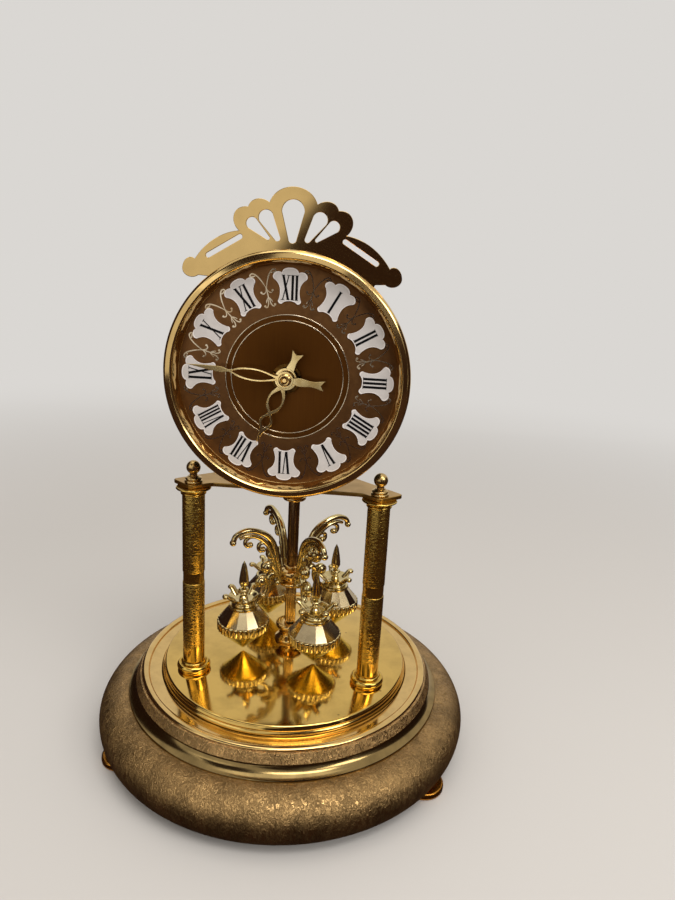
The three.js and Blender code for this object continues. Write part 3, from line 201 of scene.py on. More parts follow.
def worn_metal(name, source, share, tarnish, roughness, blotch_mm, ripple_mm):
    """Bare or lacquered metal: faint tarnish in blotches, uneven polish and a slow ripple in the surface.

    Blotches and ripple are drawn coarser than real ones, so that they show at the size of the picture.
    """
    bright = tint(source, share)
    dull = tint(tarnish) if isinstance(tarnish, str) else shade(bright, tarnish)
    material, tree, shader = blank_material(name, bright, 1.0, roughness)
    place = node(tree, "TexCoord", "Object", {})
    pattern = {"Vector": place, "Scale": per_mm(blotch_mm), "Detail": 4.0, "Roughness": 0.6}
    blotch = node(tree, "TexNoise", "Fac", pattern)
    spread = node(tree, "MapRange", "Result", {"Value": blotch, "From Min": 0.42, "From Max": 0.68})
    hue = node(tree, "Mix", MIXED, {FACTOR: spread, FIRST: bright, SECOND: dull}, data_type="RGBA")
    limits = {"To Min": roughness * 0.6, "To Max": roughness * 1.5}
    polish = node(tree, "MapRange", "Result", {"Value": blotch, **limits})
    ripple = node(tree, "TexNoise", "Fac", {"Vector": place, "Scale": per_mm(ripple_mm), "Detail": 2.0})
    bump = node(tree, "Bump", "Normal", {"Height": ripple, "Strength": 0.25, "Distance": 0.02 * MM})
    plug(tree, shader, {"Base Color": hue, "Roughness": polish, "Normal": bump})
    return material


def mirror_brass(name):
    """Worn metal polished to a mirror, with brown specks some 9 mm apart."""
    material = worn_metal(name, "mirror", 1.0, 0.8, 0.09, 16, 30)
    tree = material.node_tree
    shader = tree.nodes["Principled BSDF"]
    place = node(tree, "TexCoord", "Object", {})
    cells = node(tree, "TexVoronoi", "Distance", {"Vector": place, "Scale": per_mm(9), "Randomness": 1.0})
    limits = {"From Min": 0.04, "From Max": 0.09, "To Min": 0.55, "To Max": 0.0}
    speck = node(tree, "MapRange", "Result", {"Value": cells, **limits})
    clean = shader.inputs["Base Color"].links[0].from_socket
    colours = {FACTOR: speck, FIRST: clean, SECOND: hex_colour("4A3414")}
    plug(tree, shader, {"Base Color": node(tree, "Mix", MIXED, colours, data_type="RGBA")})
    return material


def bark_brass(
    name, source, share, hollow, roughness, grain_mm, stretch, depth_mm,
    detail=5.0, mottle=0.7, plain_mm=None,
):
    """Brass rolled with a bark grain: broken ridges that scatter the light, darker in the hollows.

    The grain is drawn coarser than the real one, so that it shows at the size of the picture.
    """
    ridge_colour = tint(source, share)
    material, tree, shader = blank_material(name, ridge_colour, 1.0, roughness)
    place = node(tree, "TexCoord", "Object", {})
    drawn = node(tree, "Mapping", "Vector", {"Vector": place, "Scale": (1.0, 1.0, 1 / stretch)})
    pattern = {"Scale": per_mm(grain_mm), "Detail": detail, "Roughness": 0.62, "Distortion": 1.2}
    grain = node(tree, "TexNoise", "Fac", {"Vector": drawn, **pattern})
    limits = {"From Min": 0.36, "From Max": 0.62}
    ridge = node(tree, "MapRange", "Result", {"Value": grain, **limits}, interpolation_type="SMOOTHSTEP")
    if plain_mm is not None:
        height = node(tree, "SeparateXYZ", "Z", {"Vector": place})
        limits = {"From Min": plain_mm * MM, "From Max": (plain_mm + 2) * MM}
        shown = node(tree, "MapRange", "Result", {"Value": height, **limits})
        ridge = node(tree, "MapRange", "Result", {"Value": shown, "To Min": 1.0, "To Max": ridge})
    colours = {FACTOR: ridge, FIRST: shade(ridge_colour, hollow), SECOND: ridge_colour}
    hue = node(tree, "Mix", MIXED, colours, data_type="RGBA")
    patch = node(tree, "TexNoise", "Fac", {"Vector": drawn, "Scale": per_mm(6 * grain_mm), "Detail": 2.0})
    limits = {"From Min": 0.35, "From Max": 0.65, "To Min": mottle, "To Max": 1.1}
    worn = node(tree, "MapRange", "Result", {"Value": patch, **limits})
    hue = node(tree, "VectorMath", "Vector", {0: hue, "Scale": worn}, operation="SCALE")
    limits = {"To Min": min(1.0, roughness * 1.5), "To Max": roughness * 0.8}
    polish = node(tree, "MapRange", "Result", {"Value": ridge, **limits})
    bump = node(tree, "Bump", "Normal", {"Height": ridge, "Strength": 0.8, "Distance": depth_mm * MM})
    plug(tree, shader, {"Base Color": hue, "Roughness": polish, "Normal": bump})
    return material


def moulded(name, source, share, roughness, grain_mm, sheen=0.5):
    """Moulded plastic or thick print: a fine grain and a slight unevenness of gloss.

    The grain is drawn coarser than the real one, so that it shows at the size of the picture.
    """
    colour = tint(source, share)
    material, tree, shader = blank_material(name, colour, 0.0, roughness)
    place = node(tree, "TexCoord", "Object", {})
    grain = node(tree, "TexNoise", "Fac", {"Vector": place, "Scale": per_mm(grain_mm), "Detail": 3.0})
    colours = {FACTOR: grain, FIRST: shade(colour, 0.85), SECOND: shade(colour, 1.15)}
    hue = node(tree, "Mix", MIXED, colours, data_type="RGBA")
    limits = {"To Min": roughness * 0.85, "To Max": roughness * 1.15}
    polish = node(tree, "MapRange", "Result", {"Value": grain, **limits})
    bump = node(tree, "Bump", "Normal", {"Height": grain, "Strength": 0.3, "Distance": 0.05 * MM})
    plug(tree, shader, {"Base Color": hue, "Roughness": polish, "Normal": bump, "Specular IOR Level": sheen})
    return material


def cell_jacket(name):
    """A printed steel jacket: a dark body with a copper-coloured plus end."""
    dark = hex_colour("2E3438")
    material, tree, shader = blank_material(name, dark, 0.5, 0.35)
    low, high = span("battery")
    plus_end = (high.x - 0.3 * (high.x - low.x)) * MM
    place = node(tree, "TexCoord", "Object", {})
    along = node(tree, "SeparateXYZ", "X", {"Vector": place})
    limits = {"From Min": plus_end, "From Max": plus_end + 0.2 * MM}
    side = node(tree, "MapRange", "Result", {"Value": along, **limits})
    colours = {FACTOR: side, FIRST: dark, SECOND: hex_colour("B87A3C")}
    plug(tree, shader, {"Base Color": node(tree, "Mix", MIXED, colours, data_type="RGBA")})
    return material


def dial_brown(name):
    """A lacquered dial: a satin middle brushed up and down, and a mottled chapter ring.

    The brushing is drawn half a millimetre wide, coarser than real, so that it shows.
    """
    brown = tint("dial")
    material, tree, shader = blank_material(name, brown, 0.85, 0.4)
    place = node(tree, "TexCoord", "Object", {})
    centred = node(tree, "Mapping", "Vector", {"Vector": place, "Location": (0.0, 0.0, -DIAL_Z * MM)})
    flat = node(tree, "VectorMath", "Vector", {0: centred, 1: (1.0, 0.0, 1.0)}, operation="MULTIPLY")
    radius = node(tree, "VectorMath", "Value", {0: flat}, operation="LENGTH")
    limits = {"From Min": (CHAPTER_RINGS[1] - 0.1) * MM, "From Max": (CHAPTER_RINGS[1] + 0.1) * MM}
    chapter = node(tree, "MapRange", "Result", {"Value": radius, **limits})
    brushed = node(tree, "Mapping", "Vector", {"Vector": place, "Scale": (1.0, 1.0, 0.03)})
    lines = node(tree, "TexNoise", "Fac", {"Vector": brushed, "Scale": per_mm(0.5), "Detail": 2.0})
    pattern = {"Vector": place, "Scale": per_mm(4), "Detail": 5.0, "Distortion": 0.8}
    mottle = node(tree, "TexNoise", "Fac", pattern)
    colours = {FACTOR: lines, FIRST: shade(brown, 0.8), SECOND: shade(brown, 1.15)}
    middle = node(tree, "Mix", MIXED, colours, data_type="RGBA")
    colours = {FACTOR: mottle, FIRST: hex_colour("5C3C20"), SECOND: hex_colour("8A6036")}
    outer = node(tree, "Mix", MIXED, colours, data_type="RGBA")
    hue = node(tree, "Mix", MIXED, {FACTOR: chapter, FIRST: middle, SECOND: outer}, data_type="RGBA")
    bump = node(tree, "Bump", "Normal", {"Height": lines, "Strength": 0.15, "Distance": 0.02 * MM})
    plug(tree, shader, {"Base Color": hue, "Normal": bump})
    return material


# Each finish with its maker and the maker's arguments in their order. A colour is one of the clock's or a hex
# code, with a share that darkens or lightens it; the sizes of patterns are in millimetres.
FINISHES = {
    # Turned brass, buffed and lacquered: sharp warm reflections with a few dull spots.
    "lacquered_polished_brass": (worn_metal, "gilt", 1.0, 0.86, 0.12, 7, 9),
    # Rolled brass, buffed: the hollow wall inside the bezel repeats the rim of the dial.
    "buffed_bezel_brass": (worn_metal, "gilt", 1.0, 0.9, 0.12, 9, 40),
    # Sheet brass buffed flat: a clear reflection with a clean edge.
    "buffed_sheet_brass": (worn_metal, "gilt", 1.0, 0.92, 0.07, 9, 60),
    # Polished pressed brass of the cove under the band, its colour darkened to less than half of the gilt as
    # painted shade of the hollow: deep gold reflections.
    "darkened_cove_brass": (worn_metal, "gilt", 0.42, 0.72, 0.16, 8, 10),
    # Turned brass, its lacquer rubbed dull for soft highlights, and its colour darkened as painted shade.
    "rubbed_finial_brass": (worn_metal, "gilt", 0.85, 0.7, 0.24, 4, 8),
    # Turned brass, lacquered a deep yellow gold: bright rings.
    "turned_ring_brass": (worn_metal, "column", 1.0, 0.8, 0.16, 5, 8),
    # Rolled sheet brass with a satin finish: wide soft highlights.
    "satin_sheet_brass": (worn_metal, "sheet", 1.0, 0.82, 0.3, 12, 2),
    # Turned brass under a tinted lacquer: a deeper orange gold.
    "tinted_foot_brass": (worn_metal, "C98A35", 1.0, "8A5A22", 0.25, 5, 6),
    # Turned brass coloured dark brown as painted shade round the hub of the hands: dark reflections.
    "browned_brass": (worn_metal, "5E4019", 1.0, "38240E", 0.2, 4, 6),
    # Drawn brass rod, polished and browned by age: long soft streaks.
    "drawn_rod_brass": (worn_metal, "A88860", 1.0, "86683F", 0.22, 3, 8),
    # Spun brass left satin, its colour made pale yellow as painted light for a brightly lit cone: a wide soft
    # yellow glow.
    "spun_drop_brass": (worn_metal, "F4EC9A", 1.0, "E0D074", 0.24, 5, 6),
    # Stamped brass, polished flat: one even reflection along the blade.
    "stamped_hand_brass": (worn_metal, "DCC48C", 1.0, "C2A468", 0.12, 5, 8),
    # Zinc casting plated a pale gilt: bright rounded highlights beside dark reflections.
    "plated_casting": (worn_metal, "cast", 1.0, 0.8, 0.14, 4, 5),
    # Cast metal plated a pale gilt: near silver, with mirror facets.
    "pale_gilt_plate": (worn_metal, "pale", 1.0, 0.85, 0.14, 6, 12),
    # Raised gilt print of the scrolls and rings: pale lines that catch the light or go dark.
    "raised_gilt_print": (worn_metal, "E8D8BC", 1.0, "C4AA84", 0.1, 5, 9),
    # Zinc-plated steel: grey, slightly spangled.
    "zinc_plated_steel": (worn_metal, "A8A8A4", 1.0, "8A8A86", 0.35, 3, 4),
    # Pressed ferrite: dull charcoal.
    "pressed_ferrite": (worn_metal, "38383A", 1.0, "2A2A2C", 0.55, 2, 2),
    # Enamelled copper wire, wound close: orange brown and finely uneven.
    "enamelled_copper_wire": (worn_metal, "A05E2E", 1.0, "7A4420", 0.35, 2, 0.4),
    # Spun brass sheet polished to a mirror: clear reflections, brown specks and hazy patches.
    "mirror_polished_brass": (mirror_brass,),
    # Pressed brass with a fine grain gone brown: a dull glow and no clear reflection.
    "bark_grained_brass": (bark_brass, "bark", 1.0, 0.66, 0.36, 1.3, 2.4, 0.17),
    # Brass with a fine upright combing: a soft glitter.
    "combed_brass": (bark_brass, "bark", 1.5, 0.62, 0.28, 0.8, 5.0, 0.14),
    # Drawn tube rolled with a bark pattern above a plain foot: broken gold strokes.
    "bark_rolled_tube": (bark_brass, "column", 1.0, 0.8, 0.2, 2.2, 0.4, 0.055, 2.0, 0.82, 50),
    # Black ABS, moulded against spark-eroded steel: matt, with a fine grain.
    "black_abs": (moulded, "2A2827", 1.0, 0.46, 0.6),
    # Natural acetal: milky and slightly waxy.
    "natural_acetal": (moulded, "D8D2C2", 1.0, 0.45, 1.5),
    # Enamel print, thick enough for a soft gloss and a little mottling.
    "off_white_enamel": (moulded, "cartouche", 1.0, 0.38, 5),
    # The raised edge of the enamel, made whiter than the field as a painted highlight along the edge.
    "rubbed_enamel_edge": (moulded, "cartouche", 1.35, 0.34, 5),
    # Black printing ink: dense, with a faint sheen.
    "black_print_ink": (moulded, "060505", 1.0, 0.6, 0.8, 0.15),
    # Printed steel: a slight gloss over two colours.
    "printed_cell_jacket": (cell_jacket,),
    # Brown lacquer on brass: satin, with fine upright lines in the middle.
    "brown_lacquered_dial": (dial_brown,),
}


def material_of(finish_name):
    """The material of a finish, made when it is first asked for."""
    made = bpy.data.materials.get(finish_name)
    if made is None:
        maker, *settings = FINISHES[finish_name]
        made = maker(finish_name, *settings)
    return made


# Shapes


def smooth_path(points, steps):
    """Points of a smooth curve through the given ones, with so many steps between two."""
    given = [Vector(p) for p in points]
    ends = [2 * given[0] - given[1], *given, 2 * given[-1] - given[-2]]
    path = []
    for i in range(1, len(ends) - 2):
        before, here, after, later = ends[i - 1 : i + 3]
        for k in range(steps):
            t = k / steps
            path.append(
                here
                + 0.5 * t * (after - before)
                + t * t * (before - 2.5 * here + 2 * after - 0.5 * later)
                + t * t * t * (1.5 * (here - after) + 0.5 * (later - before))
            )
    path.append(given[-1])
    return path


def bezier(start, first, second, end, steps):
    """Points of a cubic curve without its start."""
    points = []
    for k in range(1, steps + 1):
        t = k / steps
        u = 1 - t
        shares = (u * u * u, 3 * u * u * t, 3 * u * t * t, t * t * t)
        places = (start, first, second, end)
        points.append(tuple(sum(s * p[i] for s, p in zip(shares, places)) for i in (0, 1)))
    return points


def quadratic(start, bend, end, steps):
    """Points of a quadratic curve without its start."""
    first = [start[i] + (bend[i] - start[i]) * 2 / 3 for i in (0, 1)]
    second = [end[i] + (bend[i] - end[i]) * 2 / 3 for i in (0, 1)]
    return bezier(start, first, second, end, steps)


def arc(centre, radii, start, end, steps):
    """Points of an ellipse between two angles in degrees."""
    points = []
    for k in range(steps + 1):
        angle = math.radians(start + (end - start) * k / steps)
        points.append((centre[0] + radii[0] * math.cos(angle), centre[1] + radii[1] * math.sin(angle)))
    return points


def circle(radius, x=0, y=0, steps=32):
    """A closed round outline."""
    return arc((x, y), (radius, radius), 0, 360 - 360 / steps, steps - 1)


def rectangle(left, right, low, high):
    """Corners of an upright rectangle, round from the lower left one."""
    return [(left, low), (right, low), (right, high), (left, high)]


def fluted(radius, flutes, steps, dip):
    """A round outline whose radius dips into flutes; dip gives the depth at an angle within a flute."""
    outline = []
    for k in range(steps * flutes):
        angle = math.tau * k / (steps * flutes)
        reach = radius - dip(angle * flutes)
        outline.append((reach * math.cos(angle), reach * math.sin(angle)))
    return outline


def mirrored(right):
    """An outline with its right half, from the middle to the middle, and the same on the left."""
    return right + [(-x, y) for x, y in reversed(right[1:-1])]


def softened(points, radius, steps=3, closed=True):
    """An outline with its corners rounded off."""
    rounded = []
    count = len(points)
    for i, point in enumerate(points):
        if not closed and i in (0, count - 1):
            rounded.append(tuple(point))
            continue
        corner = Vector(point)
        before = Vector(points[i - 1]) - corner
        after = Vector(points[(i + 1) % count]) - corner
        # Less than half of each edge, so that two roundings never meet.
        reach = min(radius, before.length / 2.05, after.length / 2.05)
        start = corner + before.normalized() * reach
        end = corner + after.normalized() * reach
        rounded.append(tuple(start))
        rounded.extend(quadratic(start, corner, end, steps))
    return rounded


def moved(bm, matrix):
    """Places a whole shape."""
    bmesh.ops.transform(bm, matrix=matrix, verts=bm.verts)
    return bm


def gathered(made, bm):
    """Adds a shape to another one, if there is one."""
    if bm is None:
        return made
    mesh = bpy.data.meshes.new("gathered")
    made.to_mesh(mesh)
    made.free()
    bm.from_mesh(mesh)
    bpy.data.meshes.remove(mesh)
    return bm


def turned(profile, steps, soft=0, soft_steps=3, bm=None):
    """A body turned about Z from (radius, height) points: a ring, unless both ends lie on the axis."""
    ring = profile[0][0] > 0 or profile[-1][0] > 0
    if soft:
        profile = softened(profile, soft, soft_steps, ring)
    made = bmesh.new()
    verts = [made.verts.new((radius, 0, height)) for radius, height in profile]
    edges = [made.edges.new(pair) for pair in zip(verts, verts[1:])]
    if ring:
        edges.append(made.edges.new((verts[-1], verts[0])))
    bmesh.ops.spin(made, geom=verts + edges, axis=(0, 0, 1), angle=math.tau, steps=steps, use_merge=True)
    bmesh.ops.remove_doubles(made, verts=made.verts, dist=MERGE)
    bmesh.ops.recalc_face_normals(made, faces=made.faces)
    return gathered(made, bm)


def swept(path, radii, side, sides=14, flatness=1.0, bm=None):
    """A round or flattened bar along a path in one plane, whose across direction is the given side."""
    made = bmesh.new()
    side = Vector(side)
    places = []
    for i, point in enumerate(path):
        ahead = path[min(i + 1, len(path) - 1)]
        behind = path[max(i - 1, 0)]
        along = (Vector(ahead) - Vector(behind)).normalized()
        across = side.cross(along).normalized()
        columns = (across * radii[i], side * radii[i] * flatness, along)
        places.append(Matrix([[*[c[k] for c in columns], point[k]] for k in range(3)] + [[0, 0, 0, 1]]))
    flat_top = Matrix.Rotation(math.pi / sides, 4, "Z")
    bmesh.ops.create_circle(made, cap_ends=True, radius=1, segments=sides, matrix=places[0] @ flat_top)
    edges = list(made.edges)
    for here, there in zip(places, places[1:]):
        out = bmesh.ops.extrude_edge_only(made, edges=edges)["geom"]
        verts = [g for g in out if isinstance(g, bmesh.types.BMVert)]
        bmesh.ops.transform(made, matrix=there @ here.inverted(), verts=verts)
        fresh = set(verts)
        edges = [g for g in out if isinstance(g, bmesh.types.BMEdge) and fresh.issuperset(g.verts)]
    bmesh.ops.edgeloop_fill(made, edges=edges)
    bmesh.ops.recalc_face_normals(made, faces=made.faces)
    return gathered(made, bm)


def taper(path, start, end):
    """Radii that change evenly along a path."""
    last = len(path) - 1
    return [start + (end - start) * i / last for i in range(last + 1)]


def bead(radius, place, bm, stretch=(1, 1, 1), rings=10):
    """Adds a small ball, round or drawn out along the axes."""
    matrix = Matrix.Translation(place) @ Matrix.Diagonal((*stretch, 1))
    bmesh.ops.create_uvsphere(bm, u_segments=2 * rings, v_segments=rings, radius=radius, matrix=matrix)


def flat_sheet(outlines, thickness, edge):
    """A sheet cut to closed outlines in the XY plane, with its middle at zero and its edges rounded."""
    curve = bpy.data.curves.new("outline", "CURVE")
    curve.dimensions = "2D"
    curve.fill_mode = "BOTH"
    curve.extrude = thickness / 2 - edge
    curve.bevel_depth = edge
    curve.bevel_resolution = 2
    curve.offset = -edge
    for outline in outlines:
        spline = curve.splines.new("POLY")
        spline.points.add(len(outline) - 1)
        for point, place in zip(spline.points, outline):
            point.co = (place[0], place[1], 0, 1)
        spline.use_cyclic_u = True
    holder = bpy.data.objects.new("outline", curve)
    mesh = bpy.data.meshes.new_from_object(holder)
    made = bmesh.new()
    made.from_mesh(mesh)
    bpy.data.meshes.remove(mesh)
    bpy.data.objects.remove(holder)
    bpy.data.curves.remove(curve)
    bmesh.ops.remove_doubles(made, verts=made.verts, dist=MERGE)
    bmesh.ops.dissolve_degenerate(made, edges=made.edges, dist=MERGE)
    bmesh.ops.recalc_face_normals(made, faces=made.faces)
    return made


def lifted(bm, z):
    """Raises a whole shape."""
    return moved(bm, Matrix.Translation((0, 0, z)))


def copies(bm, matrices):
    """The same shape at several places, in one."""
    made = bmesh.new()
    for matrix in matrices:
        gathered(moved(bm.copy(), matrix), made)
    bm.free()
    return made


def linked(bm, name, material):
    """A new object in metres from a shape in millimetres, linked into the scene."""
    moved(bm, Matrix.Scale(MM, 4))
    mesh = bpy.data.meshes.new(name)
    bm.to_mesh(mesh)
    bm.free()
    mesh.materials.append(material)
    made = bpy.data.objects.new(name, mesh)
    bpy.context.scene.collection.objects.link(made)
    return made


def finish(bm, name, body, finish_name, slot, *cad_nodes, place=None, crease=35):
    """Turns a shape into a piece that rides on a body and stands for CAD nodes."""
    if place is not None:
        moved(bm, place)
    piece = linked(bm, name, material_of(finish_name))
    piece.data.shade_smooth()
    piece.data.set_sharp_from_angle(angle=math.radians(crease))
    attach(piece, body)
    if cad_nodes:
        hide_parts(*cad_nodes)


def dress(finish_name, *cad_nodes):
    """Gives CAD nodes that stay as they are a material."""
    for name in cad_nodes:
        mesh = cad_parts[name].data
        mesh.materials.clear()
        mesh.materials.append(material_of(finish_name))


def clock_turn(degrees):
    """A turn clockwise on the dial."""
    return Matrix.Rotation(-math.radians(degrees), 4, "Z")


# Pieces


class CLOCK_OT_base(bpy.types.Operator):
    """Makes the feet, the grained skirt, the cove, the rim and the mirror disc"""

    bl_idname = "clock.base"
    bl_label = "Base"

    def execute(self, context):
        dress("satin_sheet_brass", "base_bottom_plate")
        for name in ("foot_front_right", "foot_front_left", "foot_rear"):
            low, high = span(name)
            radius = (high.y - low.y) / 2
            foot = turned(rectangle(0, radius, 0, high.z), 48, 0.9)
            middle = (low + high) / 2
            place = Matrix.Translation((middle.x, middle.y, 0))
            finish(foot, name + "_disc", "stand", "tinted_foot_brass", "polished_brass", name, place=place)

        skirt_low, skirt_high = span("base_skirt")
        cove_low, cove_high = span("base_cove_ring")
        rim_low, rim_high = span("base_rim")
        disc_low, disc_high = span("base_disc")
        wall = 1.2
        hem = 5.5
        belly = skirt_low.z + 9.3
        hem_rise = belly - skirt_low.z
        tuck = skirt_high.x - hem
        hem_end = tuck - 5
        shoulder = cove_high.x + 0.6
        bulge = skirt_high.x - shoulder
        top = skirt_high.z
        mouth = rim_high.x - 5.9
        profile = [(hem_end, skirt_low.z), *arc((tuck, belly), (hem, hem_rise), -90, 0, 12)]
        profile += arc((shoulder, belly), (bulge, top - belly), 0, 90, 20)[1:]
        profile += [(mouth, top), (mouth, top - wall)]
        profile += arc((shoulder, belly), (bulge - wall, top - belly - wall), 90, 0, 8)
        profile += arc((tuck, belly), (hem - wall, hem_rise - wall), 0, -90, 6)[1:]
        profile += [(hem_end, skirt_low.z + wall)]
        skirt = turned(profile, 160)
        finish(skirt, "grained_skirt", "stand", "bark_grained_brass", "textured_brass", "base_skirt")

        waist = rim_high.x - 0.9
        back = waist - 1.5
        rise = cove_high.z - cove_low.z
        toe = (cove_high.x - 0.25, cove_low.z + rise * 0.18)
        hollow = (waist + (cove_high.x - waist) * 0.24, cove_low.z + rise * 0.3)
        profile = [(back, cove_low.z), (cove_high.x, cove_low.z)]
        profile += [(cove_high.x, cove_low.z + rise * 0.1), toe]
        profile += quadratic(toe, hollow, (waist, cove_high.z - rise * 0.2), 16)
        profile += [(waist, cove_high.z), (back, cove_high.z)]
        cove = turned(profile, 160)
        # The cove's finish is darker than the gilt as painted shade of the hollow under the band.
        finish(cove, "polished_cove", "stand", "darkened_cove_brass", "polished_brass", "base_cove_ring")

        band_top = rim_high.x - 2.4
        band_z = rim_high.z - 0.8
        profile = [
            (rim_high.x - 1.2, rim_low.z),
            (rim_high.x - 0.3, rim_low.z),
            (rim_high.x, rim_low.z + 0.3),
            (band_top + 0.5, band_z - 0.9),
            (band_top - 0.5, band_z - 0.55),
            (band_top - 1.2, band_z - 0.55),
        ]
        finish(turned(profile, 160), "combed_band", "stand", "combed_brass", "textured_brass")

        seat = disc_high.x + 6
        seat_z = rim_high.z - 1.6
        gutter = disc_high.x + 0.3
        under_z = rim_low.z + 2.8
        half = (band_top - seat) / 2
        profile = [(band_top - 0.5, band_z - 0.5)]
        profile += arc((band_top - half, band_z - 0.3), (half - 0.2, rim_high.z - band_z + 0.3), 0, 180, 12)
        profile += [(seat, seat_z), (gutter, seat_z), (gutter, under_z), (band_top - 1, under_z)]
        lip = turned(profile, 160, 0.3)
        finish(lip, "rim_lip", "stand", "lacquered_polished_brass", "polished_brass", "base_rim")

        foot_radius = disc_high.x
        top_radius = foot_radius - 1.2
        disc_z = disc_high.z
        profile = [
            (0, disc_z - wall),
            (top_radius - wall, disc_z - wall),
            (foot_radius - wall, disc_low.z),
            (foot_radius, disc_low.z),
            (foot_radius, disc_low.z + 1.2),
            (foot_radius - 0.45, disc_low.z + 1.9),
            (foot_radius - 0.75, disc_low.z + 2.2),
            (foot_radius - 0.5, disc_low.z + 2.7),
            (top_radius + 0.1, disc_z - 0.9),
            (top_radius, disc_z - 0.5),
            (top_radius - 0.5, disc_z),
            (0, disc_z),
        ]
        disc = turned(profile, 192, 0.3, 2)
        finish(disc, "mirror_disc", "stand", "mirror_polished_brass", "mirror_brass", "base_disc")

        low, high = span("pendulum_guide")
        radius = (high.x - low.x) / 2
        shares = [(0.24, 0), (1, 0), (1, 0.14), (0.88, 0.22), (0.7, 0.34), (0.7, 0.6), (0.84, 0.7)]
        shares += [(0.95, 0.78), (0.95, 0.94), (0.86, 1), (0.24, 1)]
        guide = turned([(radius * r, low.z + (high.z - low.z) * h) for r, h in shares], 64, 0.5)
        gilt = "lacquered_polished_brass"
        finish(guide, "guide_socket", "stand", gilt, "polished_brass", "pendulum_guide", place=ON_AXIS)
        return {"FINISHED"}


class CLOCK_OT_columns(bpy.types.Operator):
    """Makes the two bark-rolled columns with their feet, capitals, plain bands and finials"""

    bl_idname = "clock.columns"
    bl_label = "Columns"

    def execute(self, context):
        bore = ROD_BORE
        rings = "turned_ring_brass"
        dress("zinc_plated_steel", "tie_rod_left", "tie_rod_right")
        for side in ("left", "right"):
            shaft_low, shaft_high = span("column_shaft_" + side)
            foot_low, foot_high = span("column_foot_" + side)
            cap_low, cap_high = span("column_capital_" + side)
            ball_low, ball_high = span("finial_" + side)
            middle = (shaft_low + shaft_high) / 2
            place = Matrix.Translation((middle.x, middle.y, 0))
            radius = (shaft_high.y - shaft_low.y) / 2
            collar = 3.4
            band_low, band_high = middle.z + 0.1, middle.z + 5.3
            low_z, high_z = shaft_low.z - 0.9, cap_high.z - collar

            tube = turned(rectangle(bore, radius, low_z, band_low), 64, 0.3)
            turned(rectangle(bore, radius, band_high, high_z), 64, 0.3, bm=tube)
            shaft = "column_shaft_" + side
            finish(tube, "bark_tube_" + side, "stand", "bark_rolled_tube", "column_brass", shaft, place=place)

            inset = 0.25
            band = turned(rectangle(bore, radius - inset, band_low, band_high), 64)
            finish(band, "plain_band_" + side, "stand", rings, "column_brass", place=place)

            foot_radius = (foot_high.y - foot_low.y) / 2
            foot_z = foot_low.z
            rise = low_z - foot_z
            foot = [(bore, foot_z), (foot_radius - 0.7, foot_z)]
            foot += arc((foot_radius - 1.2, foot_z + rise * 0.36), (1.2, rise * 0.34), -66, 110, 12)
            foot += [(foot_radius - 1.75, foot_z + rise * 0.6)]
            foot += arc((radius + 0.1, foot_z + rise * 0.76), (0.6, rise * 0.14), -60, 80, 6)
            foot += [(radius + 0.1, low_z), (bore, low_z)]

            cap_radius = (cap_high.y - cap_low.y) / 2
            lip = cap_radius - 0.4
            flare = cap_radius - radius - 0.7
            cap = [(bore, high_z), (radius + 0.1, high_z)]
            cap += arc((radius + 0.1, high_z + collar * 0.17), (0.55, collar * 0.15), -70, 70, 6)
            cap += [(radius + 0.3, high_z + collar * 0.36)]
            cap += arc((lip, high_z + collar * 0.36), (flare, collar * 0.36), 180, 100, 8)
            cap += arc((lip, high_z + collar * 0.87), (0.4, collar * 0.11), -70, 80, 6)
            cap += [(lip, cap_high.z), (bore, cap_high.z)]

            neck_radius = (ball_high.y - ball_low.y) / 2
            ball = 3.1
            ball_z = ball_high.z - ball
            base_z = ball_low.z
            bore_z = base_z + 3.4
            neck = ball_z - ball - base_z
            knob = [(bore, base_z)]
            knob += arc((neck_radius - 0.55, base_z + neck * 0.16), (0.55, neck * 0.16), -80, 80, 6)
            knob += arc((neck_radius - 0.95, base_z + neck * 0.5), (0.6, neck * 0.15), -80, 80, 6)
            knob += [(ball * 0.52, base_z + neck * 0.85)]
            knob += arc((0, ball_z), (ball, ball), -58, 90, 18)
            knob += [(0, bore_z), (bore, bore_z)]

            for profile, steps, name, finish_name, slot, stands_for in (
                (foot, 64, "ringed_foot_", rings, "polished_brass", "column_foot_"),
                (cap, 64, "flared_capital_", rings, "column_brass", "column_capital_"),
                # The finials' finish is darker than the gilt as painted shade.
                (knob, 48, "ball_finial_", "rubbed_finial_brass", "polished_brass", "finial_"),
            ):
                piece = turned(profile, steps)
                finish(piece, name + side, "stand", finish_name, slot, stands_for + side, place=place)
        return {"FINISHED"}


class CLOCK_OT_top_plate(bpy.types.Operator):
    """Makes the satin plate on the columns"""

    bl_idname = "clock.top_plate"
    bl_label = "Top plate"

    def execute(self, context):
        low, high = span("top_plate")
        column_x, column_y = 41.2, -20.7
        tail = 20
        bush_hole = 3.3
        right = [(33.5, -19.5), (column_x, low.y), (high.x, -17.3), (tail, 11.4), (tail, high.y)]
        left = [(-x, y) for x, y in reversed(right)]
        holes = [circle(ROD_BORE, x, column_y) for x in (-column_x, column_x)]
        holes.append(circle(bush_hole, 0, PENDULUM_Y))
        plate = flat_sheet([softened(right + left, 2.2, 6), *holes], high.z - low.z, 0.35)
        lifted(plate, (low.z + high.z) / 2)
        finish(plate, "satin_plate", "stand", "satin_sheet_brass", "satin_brass", "top_plate", crease=10)
        return {"FINISHED"}


